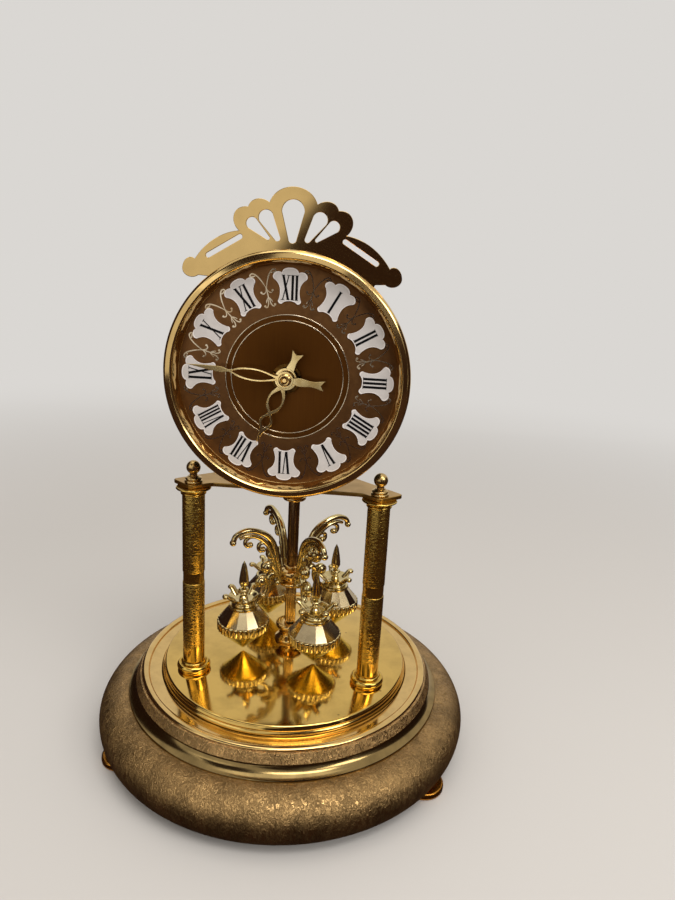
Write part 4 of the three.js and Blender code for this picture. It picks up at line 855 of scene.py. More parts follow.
class CLOCK_OT_bezel(bpy.types.Operator):
    """Makes the polished bezel round the dial"""

    bl_idname = "clock.bezel"
    bl_label = "Bezel"

    def execute(self, context):
        low, high = span("bezel")
        outer = high.x
        back = -high.y
        front = -low.y
        opening = 44.6
        rebate = opening + 2.1
        shoulder = (outer - 1.66, front - 0.51)
        crest = (outer - 3.45, front - 0.2)
        profile = [(rebate, back), (outer - 0.3, back), (outer, back + 0.3), (outer, front - 2.6)]
        profile += arc((outer - 2.4, front - 2.6), (2.4, 2.2), 0, 72, 12)[1:]
        profile += quadratic(shoulder, (outer - 2.4, front - 0.26), (outer - 3.2, front), 6)
        profile += [crest]
        profile += quadratic(crest, (opening + 0.5, front - 1.4), (opening + 0.2, DIAL_FACE + 0.3), 10)
        profile += [(opening, DIAL_FACE + 0.1), (opening, DIAL_FACE), (rebate, DIAL_FACE)]
        ring = turned(profile, 192, 0.12, 2)
        finish(ring, "rolled_bezel", "stand", "buffed_bezel_brass", "polished_brass", "bezel", place=ON_DIAL)
        return {"FINISHED"}


NUMERALS = ("XII", "I", "II", "III", "IIII", "V", "VI", "VII", "VIII", "IX", "X", "XI")


def cartouche(inner, outer, half):
    """Outline of one cartouche at twelve o'clock: three lobes outside, a waist and a hollow foot."""

    def sized(*points):
        return [(half * across, inner + (outer - inner) * along) for across, along in points]

    right = sized((0, 0.085))
    for *bends, steps in (
        ((0.28, 0.085), (0.43, 0.01), 8),
        ((0.5, -0.02), (0.6, 0.015), 4),
        ((0.72, 0.06), (0.63, 0.13), 4),
        ((0.47, 0.4), (0.6, 0.58), (0.95, 0.69), 12),
        ((1.12, 0.78), (0.86, 0.96), (0.48, 0.87), 10),
        ((0.46, 0.98), (0.2, 1.012), (0, 1.012), 8),
    ):
        curve = quadratic if len(bends) == 2 else bezier
        right += curve(right[-1], *sized(*bends), steps)
    return mirrored(right)


def stroke(bm, top, bottom, width, height, lift):
    """One stroke of a numeral from its place at the top to its place at the bottom, with level ends."""
    lean = Matrix.Identity(4)
    lean[0][1] = (top - bottom) / height
    shape = Matrix.Translation(((top + bottom) / 2, 0, lift / 2)) @ lean
    bmesh.ops.create_cube(bm, size=1, matrix=shape @ Matrix.Diagonal((width, height, lift, 1)))


def numeral(text, sizes):
    """A Roman numeral with thick and thin strokes and serifs, centred on zero."""
    height = sizes.numeral_height / MM
    thick = sizes.numeral_stroke / MM
    thin = thick * 0.42
    wide = 3.1
    gap = 0.68
    serif = 0.24
    serif_extra = 0.42
    # Crossing strokes stand at different heights, so that no two faces share a plane.
    thick_lift, thin_lift, serif_lift = 0.1, 0.085, 0.07
    widths = [thick if letter == "I" else wide for letter in text]
    total = sum(widths) + gap * (len(text) - 1)
    bm = bmesh.new()
    x = -total / 2
    end = height / 2 - serif / 2
    for letter, width in zip(text, widths):
        left, right, middle = x + thick / 2, x + width - thin, x + width / 2
        if letter == "I":
            stroke(bm, middle, middle, thick, height, thick_lift)
            feet = [(middle, 1), (middle, -1)]
        elif letter == "X":
            far = x + width - thick / 2
            stroke(bm, left, far, thick, height, thick_lift)
            stroke(bm, right, x + thin, thin, height, thin_lift)
            feet = [(left, 1), (right, 1), (far, -1), (x + thin, -1)]
        else:
            stroke(bm, left, middle, thick, height, thick_lift)
            stroke(bm, right, middle + thick * 0.3, thin, height, thin_lift)
            feet = [(left, 1), (right, 1)]
        for place, way in feet:
            matrix = Matrix.Translation((place, way * end, serif_lift / 2))
            matrix = matrix @ Matrix.Diagonal((thick + serif_extra, serif, serif_lift, 1))
            bmesh.ops.create_cube(bm, size=1, matrix=matrix)
        x += width + gap
    squeeze = min(1.0, sizes.numeral_width / MM / total)
    return moved(bm, Matrix.Diagonal((squeeze, 1, 1, 1)))


def scroll_lines(width):
    """The scrollwork between two cartouches, drawn about twelve o'clock."""
    bm = bmesh.new()
    out = (0, 0, 1)
    sides, flatness, dot_height = 4, 0.15, 0.1
    arm = [(0, 36.2), (0.75, 38.2), (1.7, 40.2), (2.9, 41.9)]
    arm += [(4.2, 42.75), (5.2, 42.3), (5.1, 41.5), (4.5, 41.5)]
    leaf = [(3.0, 42.0), (3.6, 41.6), (4.1, 41.75)]
    hook = [(0, 36.4), (0.5, 35.0), (1.3, 34.3), (2.1, 34.5), (2.3, 35.0)]
    stem = [(0, 36.6), (0, 35), (0.05, 33.4), (0, 32.2)]
    foot = [(0, 33.0), (0.35, 31.6), (0.5, 30.2), (1.1, 29.1), (1.8, 29.0), (2.0, 29.5)]
    spray = [(0.1, 32.8), (0.9, 31.6), (1.3, 30.6)]
    for side in (1, -1):
        for points, share in ((arm, 1.0), (leaf, 0.8), (hook, 0.8), (foot, 0.85), (spray, 0.6)):
            path = smooth_path([(side * x, y, 0) for x, y in points], 5)
            last = len(path) - 1
            swells = [0.55 + 0.45 * math.sin(math.pi * i / last) for i in range(last + 1)]
            swept(path, [width * share * swell for swell in swells], out, sides, flatness, bm)
        for line, share in ((arm, 1.3), (hook, 1.1), (foot, 1.2)):
            x, y = line[-1]
            place = Matrix.Translation((side * x, y, 0))
            dot = {"radius1": width * share, "radius2": width * share, "depth": dot_height}
            bmesh.ops.create_cone(bm, cap_ends=True, segments=14, matrix=place, **dot)
    path = smooth_path([(x, y, 0) for x, y in stem], 5)
    swept(path, taper(path, width, width * 0.7), out, sides, flatness, bm)
    return bm


class CLOCK_OT_dial(bpy.types.Operator):
    """Makes the brown dial with its rings, cartouches, numerals and scrollwork"""

    bl_idname = "clock.dial"
    bl_label = "Dial"

    def execute(self, context):
        sizes = context.scene.clock_sizes
        low, high = span("dial_plate")
        radius = high.x
        back = -high.y
        face = DIAL_FACE
        relief = -low.y - face
        hole = 4.3
        ground = turned(rectangle(hole, radius, back, face), 160, 0.1, 2)
        rings = bmesh.new()
        line = 0.28
        for middle in CHAPTER_RINGS:
            profile = arc((middle, face), (line, 0.2), 0, 180, 6)
            profile += [(middle - line, face - 0.1), (middle + line, face - 0.1)]
            turned(profile, 160, bm=rings)
        hours = [clock_turn(30 * hour) for hour in range(12)]
        between = [clock_turn(30 * hour + 15) for hour in range(12)]
        pad = lifted(flat_sheet([cartouche(29.5, 43.1, 6.75)], relief, 0.1), face + relief / 2)
        proud = 0.06
        edges = [cartouche(29.4, 43.2, 6.85), cartouche(29.85, 42.8, 6.4)]
        border = lifted(flat_sheet(edges, relief + proud, 0.08), face + relief / 2 + proud / 2)
        scroll = lifted(scroll_lines(sizes.scroll_line / MM), face)
        figures = bmesh.new()
        sunk = 0.02
        on_pad = Matrix.Translation((0, 35.7, face + relief - sunk))
        for text, turn in zip(NUMERALS, hours):
            gathered(moved(numeral(text, sizes), turn @ on_pad), figures)

        for shape, name, finish_name, slot, stands_for, crease in (
            (ground, "dial_ground", "brown_lacquered_dial", "brown_dial", ["dial_plate"], 35),
            (rings, "chapter_rings", "raised_gilt_print", "polished_brass", [], 35),
            (copies(pad, hours), "cartouches", "off_white_enamel", "brown_dial", [], 10),
            # The borders' whiter enamel is a painted highlight on the raised edge of each cartouche.
            (copies(border, hours), "cartouche_borders", "rubbed_enamel_edge", "brown_dial", [], 10),
            (figures, "numerals", "black_print_ink", "dark_plastic", [], 35),
            (copies(scroll, between), "dial_scrolls", "raised_gilt_print", "polished_brass", [], 10),
        ):
            finish(shape, name, "stand", finish_name, slot, *stands_for, place=ON_DIAL, crease=crease)
        dress("zinc_plated_steel", "dial_pan")
        # The dial nut's dark brown is painted shade round the hub.
        dress("browned_brass", "dial_nut")
        return {"FINISHED"}


class CLOCK_OT_crest(bpy.types.Operator):
    """Makes the pierced sheet of lobes and petals over the bezel"""

    bl_idname = "clock.crest"
    bl_label = "Crest"

    def execute(self, context):
        low, high = span("crest")
        half = high.x
        rise = high.z - DIAL_Z
        spread = 44
        inner = 39.8

        def sized(points):
            return [(x * half, y * rise) for x, y in points]

        # The lobes of the right half, each a curve from the last one's end: two bends and an end.
        right = sized([(0.765, 0.524), (0.855, 0.527)])
        for bends in (
            ((0.92, 0.497), (1.023, 0.527), (1.0, 0.573)),
            ((0.989, 0.614), (0.92, 0.633), (0.887, 0.611)),
            ((0.805, 0.689), (0.655, 0.757), (0.487, 0.768)),
            ((0.575, 0.812), (0.547, 0.898), (0.405, 0.891)),
            ((0.382, 0.936), (0.287, 0.947), (0.214, 0.917)),
        ):
            right += bezier(right[-1], *sized(bends), 14)
        left = [(-x, y) for x, y in reversed(right)]
        top = sized([(0.152, 1.0275), (-0.152, 1.0275), (-0.214, 0.917)])
        outline = right + bezier(right[-1], *top, 24)[:-1] + left
        outline += arc((0, 0), (inner, inner), 90 + spread, 90 - spread, 40)

        # Each petal's foot and its width, then its tip and the tip's radius.
        petals = (
            ((0, 0.738), 0.074, (0, 0.877), 0.101),
            ((0.136, 0.738), 0.051, (0.241, 0.84), 0.067),
            ((0.221, 0.737), 0.032, (0.366, 0.808), 0.053),
            ((0.474, 0.737), 0.044, (0.763, 0.634), 0.022),
        )
        holes = []
        for foot, foot_width, tip, tip_radius in petals:
            for side in (1, -1) if foot[0] else (1,):
                start, end = sized([(side * foot[0], foot[1]), (side * tip[0], tip[1])])
                along = math.degrees(math.atan2(end[1] - start[1], end[0] - start[0]))
                foot_half = foot_width * half / 2
                hole = arc(start, (foot_half, foot_half), along + 90, along + 270, 8)
                hole += arc(end, (tip_radius * half, tip_radius * half), along - 90, along + 90, 14)
                holes.append(hole)
        sheet = flat_sheet([outline, *holes], high.y - low.y, context.scene.clock_sizes.sheet_edge / MM)
        lifted(sheet, -(low.y + high.y) / 2)
        brass = "buffed_sheet_brass"
        finish(sheet, "pierced_crest", "stand", brass, "polished_brass", "crest", place=ON_DIAL, crease=10)
        return {"FINISHED"}


# Edges of the hands from the tail to the tip, as shares of the half width and the length.
MINUTE_EDGE = [(0, -0.362), (0.82, -0.397), (0.46, -0.273), (0.68, -0.149), (0.43, -0.074), (0.39, 0.084)]
MINUTE_EDGE += [(0.86, 0.223), (1, 0.335), (0.79, 0.459), (0.21, 0.561), (0.46, 0.645), (0.32, 0.794), (0, 1)]
HOUR_EDGE = [(0, -0.358), (0.71, -0.399), (0.38, -0.27), (0.5, -0.135), (0.44, 0.101), (0.88, 0.236)]
HOUR_EDGE += [(1, 0.338), (0.76, 0.456), (0.26, 0.534), (0.76, 0.622), (0.76, 0.696), (0.26, 0.811), (0, 1)]

# Open loops of the hands: start and end along the length, and the share of the half width.
MINUTE_LOOPS = [(0.1, 0.545, 0.76)]
HOUR_LOOPS = [(0.17, 0.495, 0.76), (0.56, 0.76, 0.5)]


def hand_outline(half, length, edge, loops):
    """Outline of a hand pointing at twelve, with its open loops."""
    path = smooth_path([(x * half, y * length, 0) for x, y in edge[1:]], 5)
    outlines = [mirrored([(0, edge[0][1] * length)] + [(max(p.x, 0), p.y) for p in path])]
    for low, high, across in loops:
        foot, tip = (0, low * length), (0, high * length)
        bend = 2 * across * half
        middle = (low + high) / 2 * length
        loop = quadratic(foot, (bend, middle), tip, 12)
        outlines.append(loop + quadratic(tip, (-bend, middle), foot, 12))
    return outlines


class CLOCK_OT_hands(bpy.types.Operator):
    """Makes the two pierced hands and their nut"""

    bl_idname = "clock.hands"
    bl_label = "Hands"

    def execute(self, context):
        # Minutes after twelve that the hands show.
        past_twelve = 6 * 60 + 46
        # Half width and length of each hand, its edge and its open loops.
        minute_shape = (2.5, 40.3, MINUTE_EDGE, MINUTE_LOOPS)
        hour_shape = (3.4, 29.6, HOUR_EDGE, HOUR_LOOPS)
        for name, body, shape, degrees, bore in (
            ("minute_hand", "minute_train", minute_shape, 6 * past_twelve, ARBOR_BORE),
            ("hour_hand", "hour_train", hour_shape, past_twelve / 2, PIPE_BORE),
        ):
            low, high = span(name)
            half = (high.y - low.y) / 2
            blade = flat_sheet(hand_outline(*shape), 2 * half * 0.8, 0.12)
            collar = bore + 1.6
            turned(rectangle(bore, collar, -half, half), 48, 0.12, 2, bm=blade)
            moved(lifted(blade, -(low.y + high.y) / 2), clock_turn(degrees))
            brass = "stamped_hand_brass"
            finish(blade, name + "_blade", body, brass, "satin_brass", name, place=ON_DIAL, crease=10)

        low, high = span("hand_nut")
        radius = (high.x - low.x) / 2
        back, front = -high.y, -low.y
        depth = front - back
        profile = [
            (0, back + depth * 0.62),
            (radius * 0.3, back + depth * 0.62),
            (radius * 0.52, front - 0.05),
            *arc((radius * 0.7, front - 0.3), (radius * 0.2, 0.3), 120, 20, 6),
            (radius * 0.92, back + depth * 0.55),
            (radius * 0.86, back + depth * 0.42),
            *arc((radius * 0.9, back + depth * 0.2), (radius * 0.1, depth * 0.18), 80, -80, 6),
            (ARBOR_BORE, back),
            (ARBOR_BORE, back + depth * 0.5),
            (0, back + depth * 0.5),
        ]
        nut = turned(profile, 48)
        gilt = "lacquered_polished_brass"
        finish(nut, "ringed_nut", "minute_train", gilt, "polished_brass", "hand_nut", place=ON_DIAL)
        return {"FINISHED"}


def open_box(low, high, wall, corner):
    """A tray open at the back, with its edges from front to back rounded."""
    bm = bmesh.new()
    matrix = Matrix.Translation((low + high) / 2) @ Matrix.Diagonal((*(high - low), 1))
    bmesh.ops.create_cube(bm, size=1, matrix=matrix)
    way = Vector((0, 1, 0))
    edges = [e for e in bm.edges if abs((e.verts[0].co - e.verts[1].co).normalized().dot(way)) > 0.9]
    bmesh.ops.bevel(bm, geom=edges, offset=corner, affect="EDGES", segments=4, profile=0.5, material=-1)
    lids = [f for f in bm.faces if f.normal.dot(way) > 0.9]
    bmesh.ops.delete(bm, geom=lids, context="FACES_ONLY")
    bmesh.ops.recalc_face_normals(bm, faces=bm.faces)
    bmesh.ops.solidify(bm, geom=bm.faces[:], thickness=wall)
    return bm


class CLOCK_OT_movement(bpy.types.Operator):
    """Makes the movement's drum, neck, back cover, setting knob and cell"""

    bl_idname = "clock.movement"
    bl_label = "Movement"

    def execute(self, context):
        plastic = "black_abs"
        case_low, case_high = span("movement_case")
        cover_low, cover_high = span("movement_cover")
        radius = case_high.x
        back = case_high.y
        nose = -case_low.y
        wall = 1.8
        front = 28.0
        spigot = 4.0
        inside = radius - wall
        profile = [(PIPE_BORE, nose), (spigot, nose), (spigot, front), (radius, front), (radius, -back)]
        profile += [(inside, -back), (inside, front - wall), (PIPE_BORE, front - wall)]
        shell = moved(turned(profile, 128, 0.4, 2), ON_DIAL)
        root, ridge = radius - 0.3, radius + 0.25
        for z in (12, 2, -8):
            rib = turned([(root, z - 0.6), (ridge, z - 0.4), (ridge, z + 0.4), (root, z + 0.6)], 128)
            gathered(moved(rib, ON_DIAL), shell)
        neck_half = 17
        neck_low = Vector((-neck_half, -18.5, case_low.z))
        neck_high = Vector((neck_half, back, DIAL_Z - radius + 5))
        gathered(open_box(neck_low, neck_high, wall, 1.2), shell)
        finish(shell, "movement_shell", "stand", plastic, "dark_plastic", "movement_case")

        corner = math.degrees(math.atan2(-math.sqrt(radius**2 - neck_half**2), neck_half))
        floor = case_low.z - DIAL_Z
        outline = [(-neck_half, floor), (neck_half, floor)]
        outline += arc((0, 0), (radius, radius), corner, 180 - corner, 96)
        cell_low, cell_high = span("battery")
        cell_z = (cell_low.z + cell_high.z) / 2 - DIAL_Z
        cell_radius = (cell_high.z - cell_low.z) / 2
        bay_x = cell_high.x + 2
        bay_low, bay_high = cell_z - cell_radius - 0.3, cell_z + cell_radius + 0.3
        bay = softened(rectangle(-bay_x, bay_x, bay_low, bay_high), 1.2, 4)
        knob_low, knob_high = span("set_knob")
        knob_z = (knob_low.z + knob_high.z) / 2 - DIAL_Z
        at_knob = Matrix.Translation((0, knob_z, 0))
        cover = flat_sheet([outline, bay, circle(ARBOR_BORE, 0, knob_z)], cover_high.y - back, 0.35)
        lifted(cover, -(back + cover_high.y) / 2)
        outside = -cover_high.y
        ring = [(8.6, outside - 0.5), (9.4, outside - 0.5), (9.6, outside + 0.2), (8.4, outside + 0.2)]
        gathered(moved(turned(ring, 64), at_knob), cover)
        moved(cover, ON_DIAL)
        margin = 1.2
        tray_low = Vector((-bay_x - margin, cover_low.y, bay_low + DIAL_Z - margin))
        tray_high = Vector((bay_x + margin, cover_high.y - 0.9, bay_high + DIAL_Z + margin))
        gathered(open_box(tray_low, tray_high, 1.1, 1.0), cover)
        finish(cover, "movement_back", "stand", plastic, "dark_plastic", "movement_cover")

        knob_radius = (knob_high.x - knob_low.x) / 2
        depth = knob_high.y - knob_low.y
        boss = 0.6
        knurl = fluted(knob_radius, 36, 4, lambda angle: 0.35 * (0.5 - 0.5 * math.cos(angle)))
        knob = flat_sheet([knurl, circle(ARBOR_BORE)], depth - boss, 0.4)
        lifted(knob, -(knob_low.y + knob_high.y) / 2 + boss / 2)
        grip = [(0, 0), (5.6, 0), (5.6, 0.5), (0, boss)]
        turned([(r, -knob_high.y + boss - z) for r, z in grip], 48, bm=knob)
        moved(knob, at_knob)
        finish(knob, "knurled_knob", "setting", plastic, "dark_plastic", "set_knob", place=ON_DIAL)

        end = (cell_high.x - cell_low.x) / 2
        nub = cell_radius * 0.38
        profile = [
            (0, -end),
            (cell_radius * 0.8, -end),
            (cell_radius, -end + 0.6),
            (cell_radius, end - 1.6),
            (cell_radius * 0.86, end - 1.2),
            (nub, end - 1.2),
            (nub, end),
            (0, end),
        ]
        cell = turned(profile, 64, 0.4)
        cell_y = (cell_low.y + cell_high.y) / 2
        lie = Matrix.Translation((0, cell_y, cell_z + DIAL_Z)) @ Matrix.Rotation(math.pi / 2, 4, "Y")
        finish(cell, "round_cell", "stand", "printed_cell_jacket", "cell_jacket", "battery", place=lie)

        dress("zinc_plated_steel", "battery_contact_minus", "battery_contact_plus", "centre_arbor")
        dress("natural_acetal", "hour_wheel", "minute_wheel", "bearing_plate")
        dress(plastic, "quartz_motor")
        dress("enamelled_copper_wire", "drive_coil")
        return {"FINISHED"}


class CLOCK_OT_stem(bpy.types.Operator):
    """Makes the pendulum's bush, rod, hub and fluted spindle"""

    bl_idname = "clock.stem"
    bl_label = "Pendulum stem"

    def execute(self, context):
        gilt = "lacquered_polished_brass"
        dress("zinc_plated_steel", "pendulum_shaft")
        dress("pressed_ferrite", "drive_magnet")

        low, high = span("pendulum_bush")
        radius = (high.x - low.x) / 2
        plate = span("top_plate")[0].z
        neck = 3.0
        profile = [
            (SHAFT_BORE, low.z),
            (radius * 0.82, low.z),
            *arc((radius - 0.7, low.z + 1.1), (0.7, 1.0), -70, 80, 8),
            (radius * 0.78, low.z + 2.5),
            (radius * 0.78, low.z + 3.4),
            *arc((radius * 0.78 - 0.2, low.z + 4.1), (0.6, 0.6), -70, 70, 6),
            (radius * 0.76, low.z + 5.0),
            (radius * 0.76, plate),
            (neck, plate),
            (neck, high.z),
            (SHAFT_BORE, high.z),
        ]
        bush = turned(profile, 64)
        finish(bush, "ringed_bush", "stand", gilt, "polished_brass", "pendulum_bush", place=ON_AXIS)

        low, high = span("rod_sleeve")
        radius = (high.x - low.x) / 2
        rod = turned(rectangle(SHAFT_BORE, radius, low.z, high.z), 48, 0.3)
        finish(rod, "plain_rod", "pendulum", "drawn_rod_brass", "column_brass", "rod_sleeve", place=ON_AXIS)

        low, high = span("pendulum_hub")
        radius = (high.x - low.x) / 2
        rise = high.z - low.z
        profile = [
            (SHAFT_BORE, low.z),
            (radius * 0.7, low.z),
            *arc((radius - 0.8, low.z + rise * 0.1), (0.8, rise * 0.09), -80, 80, 6),
            (radius * 0.72, low.z + rise * 0.24),
            (radius * 0.72, low.z + rise * 0.32),
            *arc((radius - 1.0, low.z + rise * 0.55), (1.0, rise * 0.2), -80, 80, 10),
            (radius * 0.62, low.z + rise * 0.82),
            *arc((radius * 0.55, low.z + rise * 0.91), (0.8, rise * 0.08), -80, 80, 6),
            (SHAFT_BORE, high.z),
        ]
        hub = turned(profile, 64)
        finish(hub, "ringed_hub", "pendulum", gilt, "polished_brass", "pendulum_hub", place=ON_AXIS)

        low, high = span("fluted_spindle")
        radius = (high.x - low.x) / 2
        reeds = fluted(radius, 10, 12, lambda angle: 0.45 * (1 - abs(math.cos(angle / 2))))
        spindle = lifted(flat_sheet([reeds, circle(SHAFT_BORE)], high.z - low.z, 0.2), (low.z + high.z) / 2)
        finish(spindle, "reeded_spindle", "pendulum", gilt, "polished_brass", "fluted_spindle", place=ON_AXIS)
        return {"FINISHED"}


def on_arms(reach, *shapes):
    """Finishes each shape once on each of the four arms, at one distance from the axis, and frees it."""
    for number in range(1, 5):
        turn = Matrix.Rotation(ARM_TURN + (number - 1) * math.pi / 2, 4, "Z")
        place = ON_AXIS @ turn @ Matrix.Translation((reach, 0, 0))
        for bm, name, finish_name, slot, stands_for, crease in shapes:
            piece = f"{name}_{number}"
            cad_nodes = [f"{stands_for}_{number}"] if stands_for else []
            finish(bm.copy(), piece, "pendulum", finish_name, slot, *cad_nodes, place=place, crease=crease)
    for row in shapes:
        row[0].free()


class CLOCK_OT_arms(bpy.types.Operator):
    """Makes the four scroll arms: a ridged leaf with ball curls, and an S bracket with two volutes"""

    bl_idname = "clock.arms"
    bl_label = "Scroll arms"

    def execute(self, context):
        sizes = context.scene.clock_sizes
        ridge = sizes.leaf_ridge / MM
        volute = sizes.volute / MM
        hub_low, hub_high = span("pendulum_hub")
        across = (0, 1, 0)
        root = (hub_high.x - hub_low.x) / 2 + 1.9
        root_z = hub_low.z + (hub_high.z - hub_low.z) * 0.55
        rise = span("scroll_arm_1")[1].z - 1.5 - root_z
        reach = 32.5 - root

        def on_leaf(points, steps):
            return smooth_path([(root + along * reach, 0, root_z + up * rise) for along, up in points], steps)

        # The leaf, in shares of its reach and rise: the main ridge, the one under it and three curls.
        main = [(-0.05, 0), (0.01, 0.3), (0.1, 0.64), (0.24, 0.83)]
        main += [(0.48, 0.96), (0.72, 1), (0.92, 0.93), (0.98, 0.81)]
        under = [(0.03, 0), (0.08, 0.28), (0.18, 0.57), (0.31, 0.74), (0.5, 0.86), (0.7, 0.9), (0.84, 0.87)]
        curls = (
            [(0.5, 0.86), (0.62, 0.87), (0.71, 0.82), (0.72, 0.75), (0.67, 0.7), (0.62, 0.72)],
            [(0.24, 0.67), (0.34, 0.72), (0.42, 0.69), (0.43, 0.62), (0.39, 0.57), (0.34, 0.585)],
            [(0.06, 0.4), (0.12, 0.5), (0.18, 0.49), (0.2, 0.44), (0.16, 0.4), (0.11, 0.41)],
        )
        leaf = bmesh.new()
        path = on_leaf(main, 8)
        swept(path, taper(path, ridge * 1.15, ridge * 0.85), across, 18, 1.0, leaf)
        bead(ridge * 1.05, path[-1], leaf, (1, 1.15, 1))
        path = on_leaf(under, 8)
        swept(path, taper(path, ridge, ridge * 0.55), across, 14, 1.25, leaf)
        for points in curls:
            path = on_leaf(points, 6)
            swept(path, taper(path, ridge * 0.6, ridge * 0.75), across, 12, 1.2, leaf)
            bead(ridge, path[-1], leaf, (1, 1.2, 1))

        # The bracket, in millimetres from the axis and above the floor: a scroll, a strip to the weight's eye
        # and a second scroll.
        upper = [(6.5, 72.5), (8.2, 76.5), (10.3, 80.2), (13.0, 82.9)]
        upper += [(15.6, 82.0), (15.4, 79.6), (13.6, 79.2)]
        strip = [(8.6, 76.2), (11.3, 76.9), (13.2, 74.8), (13.2, 71.0), (14.4, 67.6), (17.2, 65.2)]
        lower = [(13.2, 72.0), (14.6, 75.2), (17.0, 76.0), (19.0, 74.2), (18.0, 72.0), (16.4, 72.2)]
        eye_radius = 7.2
        eye_edge = Vector((ARM_REACH - eye_radius + 1.2, 0, EYE_TOP - 0.6))
        for points, start, end in ((upper, 1.15, 0.8), (strip, 1.05, 0.8), (lower, 0.95, 0.7)):
            path = smooth_path([(x, 0, z) for x, z in points], 8)
            if points is strip:
                path.append(eye_edge)
            swept(path, taper(path, ridge * start, ridge * end), across, 16, 1.25, leaf)
        bead(volute, (13.8, 0, 81.0), leaf, (1, 0.95, 1), 14)
        bead(volute * 0.92, (16.9, 0, 73.9), leaf, (1, 0.95, 1), 14)
        bead(ridge * 1.1, (8.0, 0, 71.6), leaf, (1, 1.2, 1))

        edge = 0.35
        flat = eye_radius - 0.2
        profile = [(STUD_BORE, EYE_BOTTOM), (flat, EYE_BOTTOM), (eye_radius, EYE_BOTTOM + edge)]
        profile += [(eye_radius, EYE_TOP - edge), (flat, EYE_TOP), (STUD_BORE, EYE_TOP)]
        gathered(moved(turned(profile, 64), Matrix.Translation((ARM_REACH, 0, 0))), leaf)

        on_arms(0, (leaf, "scroll_leaf", "plated_casting", "polished_brass", "scroll_arm", 50))
        return {"FINISHED"}


class CLOCK_OT_weights(bpy.types.Operator):
    """Makes the four weights: a plain cone below, a reeded band and a pale faceted cone above"""

    bl_idname = "clock.weights"
    bl_label = "Weights"

    def execute(self, context):
        sizes = context.scene.clock_sizes
        low, high = span("weight_1")
        radius = 12.85
        inner = radius - 0.9
        tip = low.z
        band_low = tip + 10.9
        band_high = band_low + 4.6
        profile = [(0, tip), (1.0, tip), (1.5, tip + 0.5)]
        profile += quadratic(profile[-1], (inner * 0.55, tip + 5.3), (inner - 0.3, band_low - 0.6), 12)
        profile += [(inner, band_low - 0.2), (inner, band_low + 0.4), (0, band_low + 0.4)]
        drop = turned(profile, 96)
        reeds = fluted(radius, sizes.weight_reeds, 10, lambda angle: 0.75 * (1 - abs(math.cos(angle / 2))))
        band = lifted(flat_sheet([reeds], band_high - band_low, 0.4), (band_low + band_high) / 2)
        brim = inner + 0.35
        profile = [(0, band_high - 0.3), (brim, band_high - 0.3), (brim, band_high + 0.15)]
        cone = turned([*profile, (7.3, EYE_BOTTOM), (0, EYE_BOTTOM)], sizes.weight_facets)
        stud = 1.3
        turned(rectangle(0, stud, EYE_BOTTOM - 1, high.z), 24, bm=cone)
        on_arms(
            ARM_REACH,
            (cone, "faceted_cone", "pale_gilt_plate", "pale_gilt", "weight", 12),
            (band, "reeded_band", "plated_casting", "polished_brass", None, 35),
            # The drop's pale yellow finish is painted light.
            (drop, "spun_drop", "spun_drop_brass", "polished_brass", None, 35),
        )
        return {"FINISHED"}


class CLOCK_OT_crowns(bpy.types.Operator):
    """Makes the four crowns: a dish with curled petals, a beaded stem and a spear"""

    bl_idname = "clock.crowns"
    bl_label = "Crowns"

    def execute(self, context):
        petals = context.scene.clock_sizes.crown_petals
        low, high = span("crown_1")
        base = low.z
        rim = 7.4
        profile = [
            (STUD_BORE, base),
            (rim - 1.7, base),
            (rim - 1.4, base + 0.3),
            (rim - 1.5, base + 0.9),
            (rim - 2.2, base + 1.4),
            (rim - 2.3, base + 2.0),
            (rim - 1.4, base + 3.1),
            (rim - 0.1, base + 4.3),
            (rim, base + 4.7),
            (rim - 1.0, base + 4.2),
            (rim - 2.6, base + 3.2),
            (2.6, base + 2.8),
            (STUD_BORE, base + 2.8),
        ]
        crown = turned(profile, 48, 0.25, 2)
        stem_top = base + 8.6
        profile = [(STUD_BORE, base + 2.2), (2.3, base + 2.4)]
        profile += arc((1.3, base + 3.4), (0.9, 0.9), -60, 60, 6)
        profile += arc((1.0, base + 5.4), (0.8, 0.9), -60, 60, 6)
        profile += arc((1.4, base + 7.6), (1.2, 0.9), -60, 60, 8)
        profile += [(1.0, stem_top), (0, stem_top), (0, base + 3.9), (STUD_BORE, base + 3.8)]
        turned(profile, 32, bm=crown)

        # The spear is turned in sixteen steps, and four of its edges are drawn in to leave it four-sided.
        length = high.z - stem_top
        step = 360 / 16
        shares = [(0, -0.03), (0.9, 0), (1.9, 0.08), (2.45, 0.18)]
        shares += [(2.35, 0.32), (1.85, 0.58), (1.1, 0.84), (0, 1)]
        spear = turned([(r, stem_top + length * h) for r, h in shares], 16)
        for vert in spear.verts:
            if round(math.degrees(math.atan2(vert.co.y, vert.co.x)) / step) % 4 == 2:
                vert.co.xy *= 0.72
        gathered(spear, crown)

        petal = [(rim - 2.2, 2.6), (rim - 0.8, 3.9), (rim + 0.6, 5.2), (rim + 1.7, 6.0), (rim + 2.4, 5.7)]
        path = smooth_path([(x, 0, base + z) for x, z in petal], 5)
        for k in range(petals):
            curl = swept(path, taper(path, 1.15, 0.9), (0, 1, 0), 12, 1.7)
            bead(1.25, path[-1], curl, (1, 1.3, 1))
            gathered(moved(curl, Matrix.Rotation(math.tau * k / petals, 4, "Z")), crown)

        on_arms(ARM_REACH, (crown, "petal_crown", "plated_casting", "polished_brass", "crown", 30))
        return {"FINISHED"}


